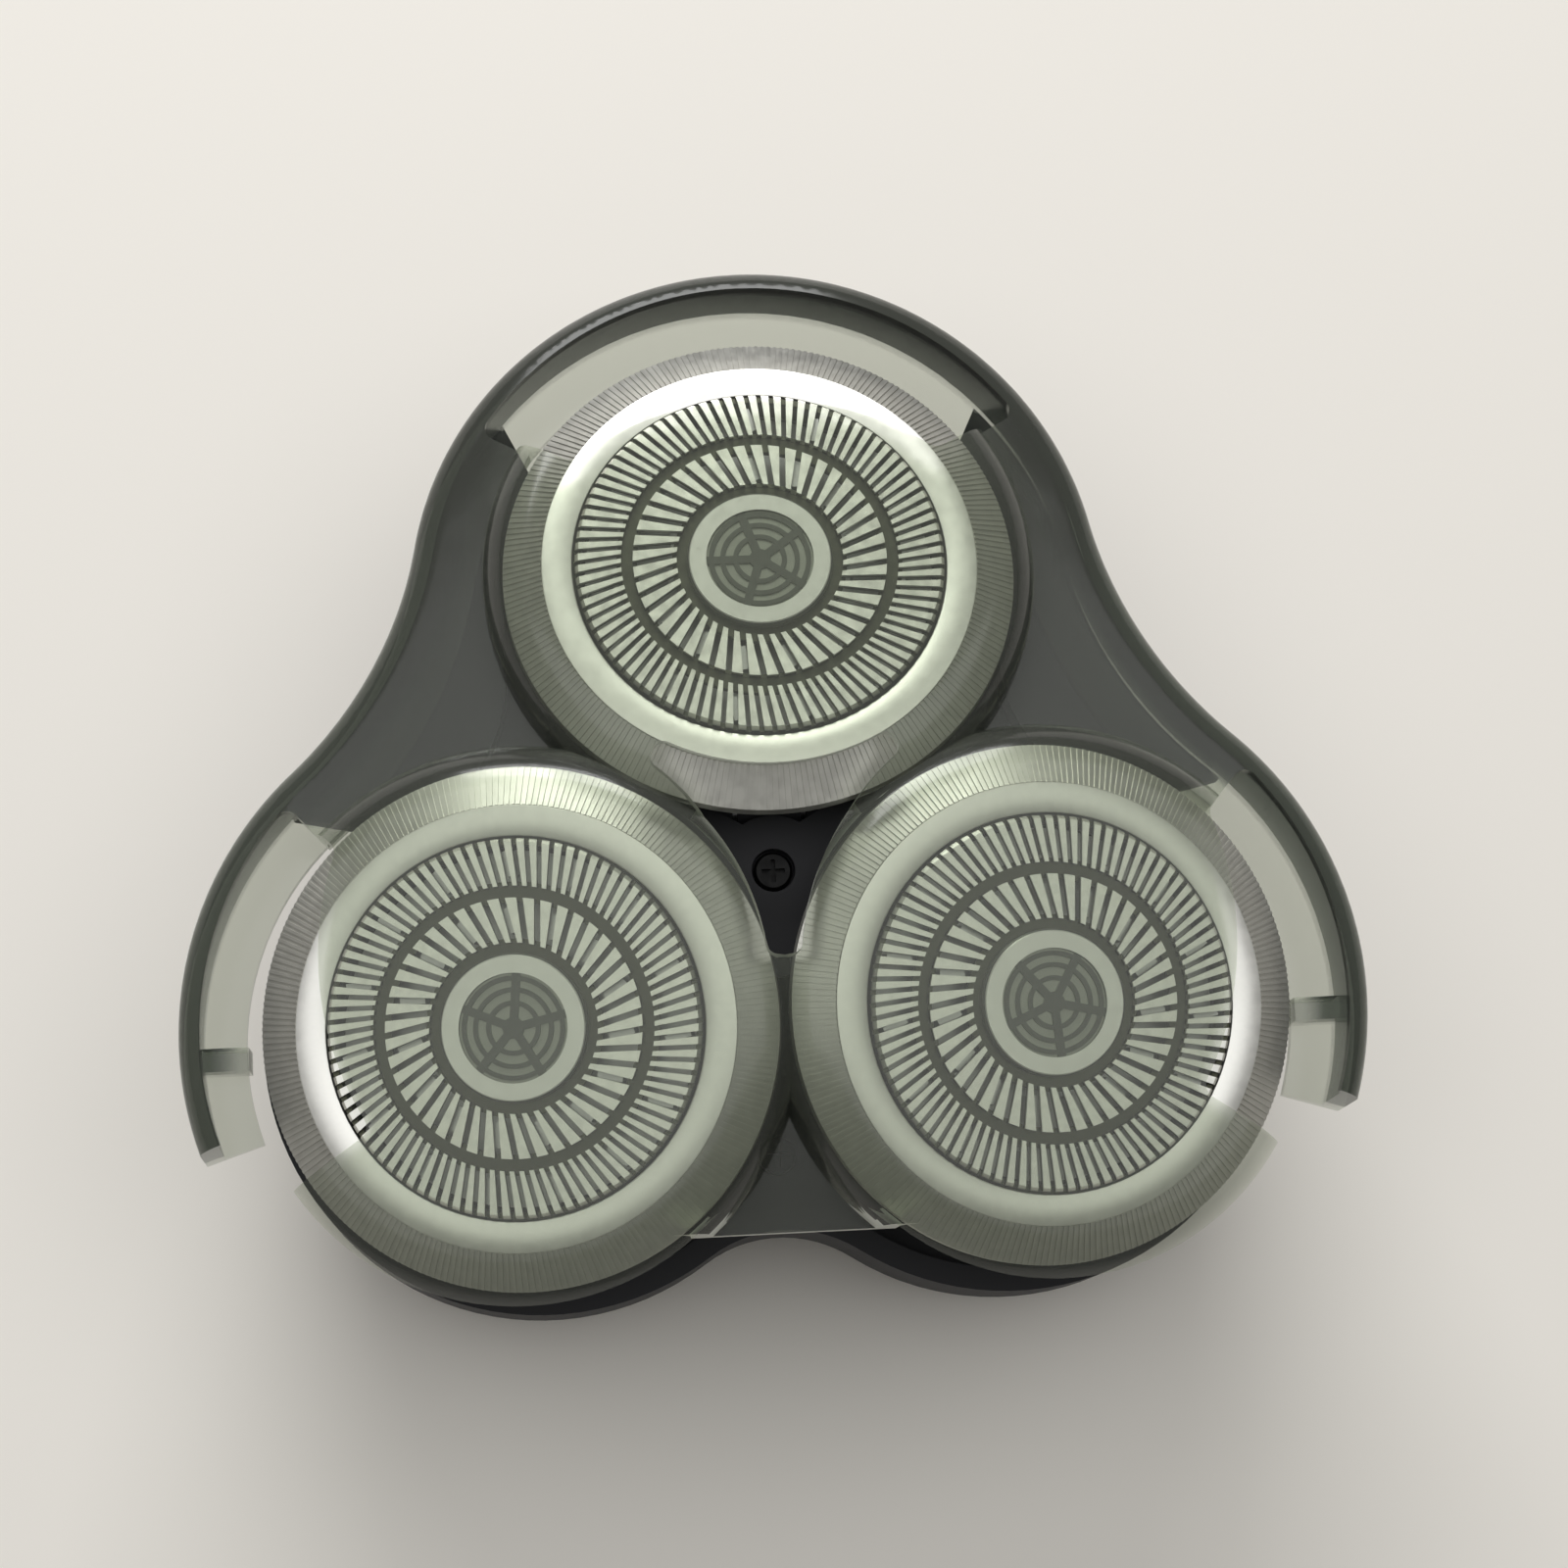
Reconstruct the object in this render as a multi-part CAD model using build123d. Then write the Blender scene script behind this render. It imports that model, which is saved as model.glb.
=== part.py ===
from build123d import *
import os
from math import acos, asin, atan2, cos, degrees, hypot, pi, radians, sin, sqrt, tan

# A three-headed rotary shaving head that lies on its collar with its clear cap on.
# Millimetres, +Z up. The origin is on the main axis, on the collar's lower face.
# Each head has its own frame: its origin is the middle of the guard's top face, its X points
# outwards from the main axis and leans down by the tilt, and its Z is the head's axis.

# Layout
REAR, LEFT, RIGHT = 90, 210, 330
HEAD_ANGLES = (REAR, LEFT, RIGHT)
HEAD_NAMES = ("rear", "left", "right")
HEAD_RADIUS = 18.2
HEAD_TILT = 11.5
GUARD_HEIGHT = 29.5

# Fits
RUNNING_FIT = 0.06
SEAT_GAP = 0.05
FREE_GAP = 0.3

# Slotted guard
GUARD_RADIUS = 11.0
GUARD_PLATE = 0.35
GUARD_WALL = 0.25
GUARD_DEPTH = 2.3
GUARD_FLANGE = 0.6
GUARD_EDGE = 0.2
GROOVE_DEPTH = 0.5
INNER_TRACK_START = 4.95
INNER_TRACK_END = 7.55
OUTER_TRACK_START = 8.25
INNER_SLOTS = 45
OUTER_SLOTS = 90
INNER_SLOT_WIDTH = 0.37
OUTER_SLOT_WIDTH = 0.3
INNER_SLOT_LEAN = 13.0
OUTER_SLOT_LEAN = 9.0
SLOT_DEPTH = 0.45
SLOT_OVERRUN = 0.1

# Round cover in the middle of the guard
BADGE_RADIUS = 4.33
BADGE_RING = 1.13
BADGE_RISE = 0.1
BADGE_STEM_RADIUS = 3.45
BADGE_STEM_DEPTH = 2.0
BADGE_SPOKES = 5
BADGE_SPOKE_WIDTH = 0.5
BADGE_RELIEF = 0.22

# Bright ring round the guard
BEZEL_FACE_DROP = 0.45
BEZEL_FACE_RADIUS = 13.0
BEZEL_RADIUS = 15.4
BEZEL_SLOPE_DROP = 1.5
BEZEL_RIM = 0.75
BEZEL_BASE = 3.0
BEZEL_LIP = 1.45
SPIGOT_RADIUS = 13.3
SPIGOT_WALL = 0.4
SPIGOT_DEPTH = 1.2

# Cutter and its carrier
CUTTER_RADIUS = 10.4
CUTTER_BORE = 3.9
CUTTER_PLATE = 0.4
BLADE_COUNT = 15
LEG_THICKNESS = 0.45
LEG_LEAN = 20.0
LEG_HEIGHT = 1.65
BLADE_GAP = 0.25
CARRIER_FLANGE_RADIUS = 6.0
CARRIER_FLANGE = 0.65
CARRIER_HUB_RADIUS = 2.75
CARRIER_HUB = 3.0
SOCKET_ACROSS_FLATS = 3.4
SOCKET_DEPTH = 2.5
JOURNAL_RADIUS = 1.2
JOURNAL_BORE_DEPTH = 1.3

# Spoked ring that holds the guard and cutter up
RETAINER_BORE = 11.0
RETAINER_SPOKES = 3
RETAINER_SPOKE_WIDTH = 2.0
RETAINER_PLATE = 0.8
RETAINER_EYE_WALL = 1.0

# Hair chamber, the black cup of each head
CHAMBER_RADIUS = 14.3
CHAMBER_FOOT_RADIUS = 10.9
CHAMBER_WALL = 0.9
CHAMBER_SIDE = 2.2
CHAMBER_TAPER = 2.2
CHAMBER_FOOT = 1.9
CHAMBER_HOLE = 3.4

# Head hinge, on a pin beside the central hub
PIVOT_RADIUS = 3.9
PIVOT_DROP = 5.4
PIN_RADIUS = 0.5
LUG_RADIUS = 1.15
LUG_WIDTH = 3.8
EAR_RADIUS = 1.0
EAR_WIDTH = 1.1
YOKE_RADIUS = 5.2
YOKE_PLATE = 1.6
PILLAR_RADIUS = 3.6
PILLAR_TOP_RADIUS = 2.3
HUB_PLATE = 0.7
HUB_TOP_DROP = 3.4
HUB_RADIUS = 3.3
HUB_ARM_REACH = 6.4
HUB_ARM_WIDTH = 3.2

# Spindles and gears
TIP_DEPTH = 5.5
TIP_RADIUS = 1.65
TIP_ACROSS_FLATS = 2.8
NECK_RADIUS = 0.95
SPINDLE_RADIUS = 1.3
SPINDLE_FLAT = 0.35
SPINDLE_COLLAR_RADIUS = 2.3
SPINDLE_COLLAR = 0.6
HEAD_TEETH = 38
DRIVE_TEETH = 30
GEAR_WIDTH = 2.5
TOOTH_PLAY = 0.16
GEAR_HUB_RADIUS = 2.4
JOURNAL_LENGTH = 1.7
DRIVE_HUB_RADIUS = 4.2
DRIVE_HUB_REACH = 2.2
DRIVE_ACROSS_FLATS = 5.0
DRIVE_SOCKET_DEPTH = 4.2
DRIVE_PIN_RADIUS = 1.5
SPRING_RADIUS = 1.9
SPRING_WIRE = 0.2
SPRING_LENGTH = 3.1
SPRING_TURNS = 4
SPRING_SIDES = 6

# Black base
COLLAR_RADIUS = 12.6
COLLAR_BORE = 10.6
COLLAR_HEIGHT = 7.0
FLOOR_PLATE = 2.2
BASE_CENTRE_RADIUS = HEAD_RADIUS - 1.9
BASE_LOBE_RADIUS = 16.9
BASE_HOLLOW = 8.0
BASE_HEIGHT = 10.0
BASE_WALL = 1.4
BASE_FOOT_ROUND = 3.0
COVER_HEIGHT = 13.2
COVER_PLATE = 1.4
BOSS_WALL = 1.1
SCREW_CIRCLE = 16.0
SCREW_BOSS_RADIUS = 1.9
SCREW_RADIUS = 0.6
SCREW_HEAD_RADIUS = 1.15
SCREW_HEAD = 0.8
SCREW_LENGTH = 4.5

# Clear cap
CAP_CENTRE_RADIUS = HEAD_RADIUS - 1.4
CAP_STANDOFF = 3.9
CAP_LOBE_RADIUS = BASE_LOBE_RADIUS + CAP_STANDOFF
CAP_HOLLOW = 24.5
CAP_DRAFT = 1.5
CAP_WALL = 1.2
CAP_WEB = 1.0
CAP_WEB_RISE = 1.0
CAP_WEB_SLOPE = 0.15
CAP_ROUND = 2.0
CAP_FOOT = 16.6
LEDGE = 1.0
LEDGE_WIDTH = 2.5
DOME_CLEARANCE = 0.55
DOME_WALL = 0.8
DOME_FLAT_RADIUS = BEZEL_RADIUS - 2.1
DOME_SHOULDER = 2.4
DOME_DEPTH = 5.0
DOME_REACH = 12.0
RELIEF_LENGTH = 7.2
RELIEF_WIDTH = 4.4
RELIEF_RISE = 1.4
FRONT_EDGE_DROP = 0.1
SKIRT_END_ANGLE = -12.4
FRONT_WEB_EDGE = 21.5
WINDOW_ARC_CENTRE = HEAD_RADIUS - 8.2
WINDOW_ARC_RADIUS = 18.2
REAR_WINDOW_HALF = 60.0
SIDE_WINDOW_START = -3.0
SIDE_WINDOW_END = 78.0
WINDOW_ROUND = 0.8
OPENING_REAR_RADIUS = 13.1
OPENING_SIDE_RADIUS = 16.6
OPENING_SIDE_X = HEAD_RADIUS - 0.7
OPENING_SIDE_Y = HEAD_RADIUS - 10.7
OPENING_FRONT = 5.9
OPENING_REACH = 9.2
OPENING_ROUND = 0.6
RIB_WIDTH = 1.4
RIB_HEIGHT = 3.0

# Shelves of the base that carry the cap's foot, at the two back waists
SHELF_PLATE = 1.6
SHELF_INSET = 0.4
SHELF_REAR_ANGLE = 34.0
SHELF_FRONT_ANGLE = 18.0

# Worked out from the sizes above
HEAD_PLANE = Plane(
    origin=(HEAD_RADIUS, 0, GUARD_HEIGHT),
    x_dir=(cos(radians(HEAD_TILT)), 0, -sin(radians(HEAD_TILT))),
    z_dir=(sin(radians(HEAD_TILT)), 0, cos(radians(HEAD_TILT))),
)
CUTTER_FACE = GUARD_PLATE + BLADE_GAP + LEG_HEIGHT
CARRIER_FACE = CUTTER_FACE + CUTTER_PLATE
HUB_FOOT = CARRIER_FACE + CARRIER_FLANGE + CARRIER_HUB
GEAR_RADIUS = HEAD_RADIUS - TIP_DEPTH * sin(radians(HEAD_TILT))
TIP_HEIGHT = GUARD_HEIGHT - TIP_DEPTH * cos(radians(HEAD_TILT))
PIVOT_HEIGHT = GUARD_HEIGHT - PIVOT_DROP
MODULE = 2 * GEAR_RADIUS / (HEAD_TEETH + DRIVE_TEETH)
FLOOR_TOP = COLLAR_HEIGHT + FLOOR_PLATE
GEAR_HEIGHT = FLOOR_TOP + FREE_GAP
GEAR_TOP = GEAR_HEIGHT + GEAR_WIDTH
COVER_TOP = COVER_HEIGHT + COVER_PLATE
HUB_TOP = COVER_TOP + 0.6
BASE_TOP = COLLAR_HEIGHT + BASE_HEIGHT
CLAMP_TOP = GUARD_HEIGHT - HUB_TOP_DROP
PILLAR_TOP = CLAMP_TOP - 2 * HUB_PLATE - SEAT_GAP
WEB_HEIGHT = GUARD_HEIGHT + CAP_WEB_RISE
CAP_WAIST_ACROSS = CAP_CENTRE_RADIUS * sin(radians(60))
CAP_WAIST_REACH = sqrt((CAP_LOBE_RADIUS + CAP_HOLLOW) ** 2 - CAP_WAIST_ACROSS**2)
CAP_WAIST = CAP_CENTRE_RADIUS * cos(radians(60)) + CAP_WAIST_REACH - CAP_HOLLOW


def turned(points):
    """Turn a closed outline of (radius, height) points about the Z axis."""
    return revolve(Plane.XZ * make_face(Polyline(*points, close=True)), axis=Axis.Z)


def cylinder(radius, low, high):
    """A round bar or hole about the Z axis between two heights."""
    return Pos(0, 0, low) * extrude(Circle(radius), amount=high - low)


def box(x_span, y_span, z_span):
    """A block between pairs of coordinates."""
    size = [span[1] - span[0] for span in (x_span, y_span, z_span)]
    middle = [(span[0] + span[1]) / 2 for span in (x_span, y_span, z_span)]
    return Pos(*middle) * Box(*size)


def on_head(shape, angle):
    """Place a shape made in a head's frame on the head at this angle."""
    return Rot(0, 0, angle) * HEAD_PLANE.location * shape


def ring_of(shape, count, start=0.0):
    """Copies of a shape, evenly spaced about the Z axis."""
    return [Rot(0, 0, start + 360 * k / count) * shape for k in range(count)]


def trefoil(centre_radius, lobe_radius, hollow):
    """A three-lobed outline: round lobes joined by hollow arcs of the given radius."""
    across = centre_radius * sin(radians(60))
    along = centre_radius * cos(radians(60))
    depth = sqrt((lobe_radius + hollow) ** 2 - across**2)
    waist = along + depth - hollow
    reach = lobe_radius / (lobe_radius + hollow)
    touch = Vector(along + reach * depth, -across * (1 - reach))
    mirrored = Vector(touch.X, -touch.Y)
    edges = []
    for angle in HEAD_ANGLES:
        before = touch.rotate(Axis.Z, angle - 60)
        start = mirrored.rotate(Axis.Z, angle - 60)
        end = touch.rotate(Axis.Z, angle + 60)
        tip = Vector(centre_radius + lobe_radius, 0).rotate(Axis.Z, angle)
        middle = Vector(waist, 0).rotate(Axis.Z, angle - 60)
        edges.append(ThreePointArc(before, middle, start))
        edges.append(ThreePointArc(start, tip, end))
    return make_face(edges)


def gear(teeth, width):
    """A spur gear with straight flanks, one tooth on the X axis, standing on Z = 0."""
    pitch_radius = MODULE * teeth / 2
    half = (pi * MODULE / 2 - TOOTH_PLAY) / 2
    tip, root = pitch_radius + 0.85 * MODULE, pitch_radius - 1.2 * MODULE
    tip_half = half - 0.85 * MODULE * tan(radians(20))
    root_half = half + 1.2 * MODULE * tan(radians(20))
    points = []
    for k in range(teeth):
        middle = 2 * pi * k / teeth
        for radius, side in ((root, -root_half), (tip, -tip_half), (tip, tip_half), (root, root_half)):
            angle = middle + side / radius
            points.append((radius * cos(angle), radius * sin(angle)))
    return extrude(make_face(Polyline(*points, close=True)), amount=width)


def slot(start, end, width, lean):
    """One cutting slot from one radius to another, leaning as it goes outwards."""
    middle = Pos((start + end) / 2, 0, 0)
    return middle * Rot(0, 0, lean) * box(
        ((start - end) / 2, (end - start) / 2), (-width / 2, width / 2), (-SLOT_DEPTH, 1)
    )


def make_guard():
    """The slotted guard, a pressed cup with two raised tracks and a groove between them."""
    plate, wall, groove = GUARD_PLATE, GUARD_WALL, GROOVE_DEPTH
    skirt = GUARD_RADIUS - GUARD_PLATE
    flange = GUARD_RADIUS + GUARD_FLANGE
    body = turned([
        (BADGE_STEM_RADIUS + SEAT_GAP, -groove),
        (INNER_TRACK_START, -groove),
        (INNER_TRACK_START, 0),
        (INNER_TRACK_END, 0),
        (INNER_TRACK_END, -groove),
        (OUTER_TRACK_START, -groove),
        (OUTER_TRACK_START, 0),
        (GUARD_RADIUS - GUARD_EDGE, 0),
        (GUARD_RADIUS, -GUARD_EDGE),
        (GUARD_RADIUS, plate - GUARD_DEPTH),
        (flange, plate - GUARD_DEPTH),
        (flange, -GUARD_DEPTH),
        (skirt, -GUARD_DEPTH),
        (skirt, -plate),
        (OUTER_TRACK_START + wall, -plate),
        (OUTER_TRACK_START + wall, -groove - plate),
        (INNER_TRACK_END - wall, -groove - plate),
        (INNER_TRACK_END - wall, -plate),
        (INNER_TRACK_START + wall, -plate),
        (INNER_TRACK_START + wall, -groove - plate),
        (BADGE_STEM_RADIUS + SEAT_GAP, -groove - plate),
    ])
    over = SLOT_OVERRUN
    inner = slot(INNER_TRACK_START - over, INNER_TRACK_END + over, INNER_SLOT_WIDTH, INNER_SLOT_LEAN)
    outer = slot(OUTER_TRACK_START - over, GUARD_RADIUS + 2 * over, OUTER_SLOT_WIDTH, OUTER_SLOT_LEAN)
    return body - (ring_of(inner, INNER_SLOTS) + ring_of(outer, OUTER_SLOTS))


def make_badge():
    """The round cover in the guard's middle: a raised ring round a spoked, ringed disc."""
    ring = BADGE_RADIUS - BADGE_RING
    floor = BADGE_RISE - BADGE_RELIEF
    body = turned([
        (0, floor),
        (ring, floor),
        (ring, BADGE_RISE),
        (BADGE_RADIUS - 0.15, BADGE_RISE),
        (BADGE_RADIUS, BADGE_RISE - 0.15),
        (BADGE_RADIUS, -GROOVE_DEPTH),
        (BADGE_STEM_RADIUS, -GROOVE_DEPTH),
        (BADGE_STEM_RADIUS, -BADGE_STEM_DEPTH),
        (0, -BADGE_STEM_DEPTH),
    ])
    bore = cylinder(JOURNAL_RADIUS + RUNNING_FIT, -BADGE_STEM_DEPTH, JOURNAL_BORE_DEPTH - BADGE_STEM_DEPTH)
    relief_top = floor + BADGE_RELIEF / 2
    boss = cylinder(ring * 0.2, floor, relief_top)
    spoke = box((0, ring), (-BADGE_SPOKE_WIDTH / 2, BADGE_SPOKE_WIDTH / 2), (floor, relief_top))
    rings = [
        cylinder(ring * outer, floor, relief_top) - cylinder(ring * (outer - 0.09), floor, relief_top)
        for outer in (0.5, 0.74, 0.95)
    ]
    return body - bore + boss + ring_of(spoke, BADGE_SPOKES, 18) + rings


def make_bezel():
    """The bright ring: a flat face, a sloping side and a spigot that plugs into the cup."""
    face, lip = -BEZEL_FACE_DROP, -BEZEL_FACE_DROP - BEZEL_LIP
    bore = GUARD_RADIUS + 3 * SEAT_GAP
    slope = face - BEZEL_SLOPE_DROP
    spigot_bore = SPIGOT_RADIUS - SPIGOT_WALL
    return turned([
        (bore, face - 0.1),
        (bore + 0.1, face),
        (BEZEL_FACE_RADIUS - 0.1, face),
        (BEZEL_FACE_RADIUS + 0.05, face - 0.1),
        (BEZEL_RADIUS, slope),
        (BEZEL_RADIUS, slope - BEZEL_RIM),
        (BEZEL_RADIUS - 0.3, -BEZEL_BASE),
        (SPIGOT_RADIUS, -BEZEL_BASE),
        (SPIGOT_RADIUS, -BEZEL_BASE - SPIGOT_DEPTH),
        (spigot_bore, -BEZEL_BASE - SPIGOT_DEPTH),
        (spigot_bore, lip),
        (bore, lip),
    ])


def make_cutter():
    """The cutter: a thin ring with two rows of leaning blades."""
    plate = turned([
        (CUTTER_BORE, -CUTTER_FACE),
        (CUTTER_RADIUS, -CUTTER_FACE),
        (CUTTER_RADIUS, -CARRIER_FACE),
        (CUTTER_BORE, -CARRIER_FACE),
    ])
    spans = (
        (INNER_TRACK_START + GUARD_WALL + FREE_GAP, INNER_TRACK_END - GUARD_WALL - FREE_GAP),
        (OUTER_TRACK_START + GUARD_WALL + FREE_GAP, CUTTER_RADIUS - 0.1),
    )
    blades = []
    for start, end in spans:
        sink = CUTTER_PLATE / 2
        blade = box(
            ((start - end) / 2, (end - start) / 2),
            (-LEG_THICKNESS / 2, LEG_THICKNESS / 2),
            (-CUTTER_FACE - sink, -CUTTER_FACE + LEG_HEIGHT),
        )
        leaning = Pos((start + end) / 2, 0, 0) * Rot(0, 0, LEG_LEAN) * blade
        blades += ring_of(leaning, BLADE_COUNT)
    return plate + blades


def make_carrier():
    """The carrier: it holds the cutter, turns on the cover's stem and is driven from below."""
    flange_foot = -CARRIER_FACE - CARRIER_FLANGE
    seat_radius = CUTTER_BORE - SEAT_GAP
    journal_top = JOURNAL_BORE_DEPTH - BADGE_STEM_DEPTH - FREE_GAP
    body = turned([
        (0, journal_top),
        (JOURNAL_RADIUS, journal_top),
        (JOURNAL_RADIUS, -CUTTER_FACE - 0.05),
        (seat_radius, -CUTTER_FACE - 0.05),
        (seat_radius, -CARRIER_FACE),
        (CARRIER_FLANGE_RADIUS, -CARRIER_FACE),
        (CARRIER_FLANGE_RADIUS, flange_foot),
        (CARRIER_HUB_RADIUS, flange_foot),
        (CARRIER_HUB_RADIUS, -HUB_FOOT),
        (0, -HUB_FOOT),
    ])
    hexagon = RegularPolygon(SOCKET_ACROSS_FLATS / 2, 6, major_radius=False)
    return body - Pos(0, 0, -HUB_FOOT) * extrude(hexagon, amount=SOCKET_DEPTH)


def make_retainer():
    """The spoked ring inside the bezel, which keeps the guard and cutter up."""
    outer = SPIGOT_RADIUS - SPIGOT_WALL - SEAT_GAP
    foot = -BEZEL_BASE - SPIGOT_DEPTH
    low = foot - RETAINER_PLATE
    eye = CARRIER_HUB_RADIUS + 1.5 * FREE_GAP
    ring = turned([
        (RETAINER_BORE, -GUARD_DEPTH),
        (outer, -GUARD_DEPTH),
        (outer, foot),
        (outer - RETAINER_PLATE, low),
        (RETAINER_BORE, low),
    ])
    spoke = box(
        (eye + RETAINER_EYE_WALL / 2, RETAINER_BORE + 0.4),
        (-RETAINER_SPOKE_WIDTH / 2, RETAINER_SPOKE_WIDTH / 2),
        (low, foot),
    )
    eye_ring = cylinder(eye + RETAINER_EYE_WALL, low, foot) - cylinder(eye, low, foot)
    return ring + ring_of(spoke, RETAINER_SPOKES, 60) + eye_ring


def pivot_in_head():
    """The hinge pin's place in a head's frame, as (x, z)."""
    back = HEAD_RADIUS - PIVOT_RADIUS
    lean = radians(HEAD_TILT)
    x = -back * cos(lean) + PIVOT_DROP * sin(lean)
    z = -back * sin(lean) - PIVOT_DROP * cos(lean)
    return x, z


def make_chamber():
    """The hair chamber: a black cup with a hinge lug on the side of the main axis."""
    rim = -BEZEL_BASE
    side = rim - CHAMBER_SIDE
    taper = side - CHAMBER_TAPER
    foot = taper - CHAMBER_FOOT
    wall = CHAMBER_WALL
    cup = turned([
        (CHAMBER_RADIUS, rim),
        (CHAMBER_RADIUS, side),
        (CHAMBER_FOOT_RADIUS, taper),
        (CHAMBER_FOOT_RADIUS, foot + 0.5),
        (CHAMBER_FOOT_RADIUS - 0.5, foot),
        (CHAMBER_HOLE, foot),
        (CHAMBER_HOLE, foot + wall),
        (CHAMBER_FOOT_RADIUS - wall, foot + wall),
        (CHAMBER_FOOT_RADIUS - wall, taper + 0.25),
        (CHAMBER_RADIUS - wall, side + 0.25),
        (CHAMBER_RADIUS - wall, rim),
    ])
    x, z = pivot_in_head()
    barrel = Pos(x, 0, z) * Rot(90, 0, 0) * Cylinder(LUG_RADIUS, LUG_WIDTH)
    arm = box(
        (x, -CHAMBER_FOOT_RADIUS + wall / 2),
        (-LUG_WIDTH / 2, LUG_WIDTH / 2),
        (z - 0.6 * LUG_RADIUS, z + 0.7 * LUG_RADIUS),
    )
    hole = Pos(x, 0, z) * Rot(90, 0, 0) * Cylinder(PIN_RADIUS + RUNNING_FIT, LUG_WIDTH)
    return cup + arm + barrel - hole


def make_pin():
    """A hinge pin, made in the plane of the first head's hinge."""
    length = LUG_WIDTH + 2 * (FREE_GAP + EAR_WIDTH)
    return Pos(PIVOT_RADIUS, 0, PIVOT_HEIGHT) * Rot(90, 0, 0) * Cylinder(PIN_RADIUS, length)


def d_section(radius, flat):
    """A round section with one flat."""
    cut = Pos(2 * radius - flat, 0) * Rectangle(2 * radius, 4 * radius)
    return Circle(radius) - cut


def make_spindle():
    """A drive spindle: flatted shaft, spring collar, neck and a rounded six-sided tip."""
    foot = GEAR_HEIGHT + 0.8
    collar = HUB_TOP + SPRING_LENGTH
    shaft = Pos(0, 0, foot) * extrude(d_section(SPINDLE_RADIUS, SPINDLE_FLAT), amount=collar - foot)
    ring = cylinder(SPINDLE_COLLAR_RADIUS, collar, collar + SPINDLE_COLLAR)
    neck = cylinder(NECK_RADIUS, collar + SPINDLE_COLLAR, TIP_HEIGHT)
    prism = extrude(RegularPolygon(TIP_ACROSS_FLATS / 2, 6, major_radius=False), amount=TIP_RADIUS, both=True)
    tip = Pos(0, 0, TIP_HEIGHT) * (Sphere(TIP_RADIUS) & prism)
    return Pos(GEAR_RADIUS, 0, 0) * (shaft + ring + neck + tip)


def make_spring():
    """The coil spring between the gear's hub and the spindle's collar."""
    height = SPRING_LENGTH - 2 * SPRING_WIRE - 2 * SEAT_GAP
    path = Helix(pitch=height / SPRING_TURNS, height=height, radius=SPRING_RADIUS)
    section = Plane(origin=path @ 0, z_dir=path % 0) * RegularPolygon(SPRING_WIRE, SPRING_SIDES)
    coil = sweep(section, path=path)
    return Pos(GEAR_RADIUS, 0, HUB_TOP + SPRING_WIRE + SEAT_GAP) * coil


def make_head_gear():
    """A head's gear, with journals above and below and a flatted bore for the spindle."""
    foot = GEAR_HEIGHT - JOURNAL_LENGTH
    wheel = Pos(0, 0, GEAR_HEIGHT) * gear(HEAD_TEETH, GEAR_WIDTH)
    hub = cylinder(GEAR_HUB_RADIUS, foot, HUB_TOP)
    bore = d_section(SPINDLE_RADIUS + RUNNING_FIT, SPINDLE_FLAT)
    return Pos(GEAR_RADIUS, 0, 0) * (wheel + hub - Pos(0, 0, foot) * extrude(bore, amount=HUB_TOP - foot))


def make_drive_gear():
    """The middle gear, with a hexagonal socket below for the shaver's drive shaft."""
    foot = GEAR_HEIGHT - DRIVE_HUB_REACH
    wheel = Pos(0, 0, GEAR_HEIGHT) * gear(DRIVE_TEETH, GEAR_WIDTH)
    hub = cylinder(DRIVE_HUB_RADIUS, foot, GEAR_HEIGHT)
    pin = cylinder(DRIVE_PIN_RADIUS, GEAR_TOP, COVER_TOP - 2 * FREE_GAP)
    hexagon = RegularPolygon(DRIVE_ACROSS_FLATS / 2, 6, major_radius=False)
    return wheel + hub + pin - Pos(0, 0, foot) * extrude(hexagon, amount=DRIVE_SOCKET_DEPTH)


def make_shelf():
    """The left shelf under the cap's foot, between the rear window and the left one."""
    inset, far = SHELF_INSET, 2 * CAP_WAIST
    waist = (REAR + LEFT) / 2
    points = [(0, 0)]
    for direction in (waist - SHELF_REAR_ANGLE, waist, waist + SHELF_FRONT_ANGLE):
        points.append((far * cos(radians(direction)), far * sin(radians(direction))))
    area = make_face(Polyline(*points, close=True))
    area &= trefoil(CAP_CENTRE_RADIUS, CAP_LOBE_RADIUS - inset, CAP_HOLLOW + inset)
    area -= Circle(BASE_CENTRE_RADIUS)
    return Pos(0, 0, CAP_FOOT - 2 * SEAT_GAP - SHELF_PLATE) * extrude(area, amount=SHELF_PLATE)


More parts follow.
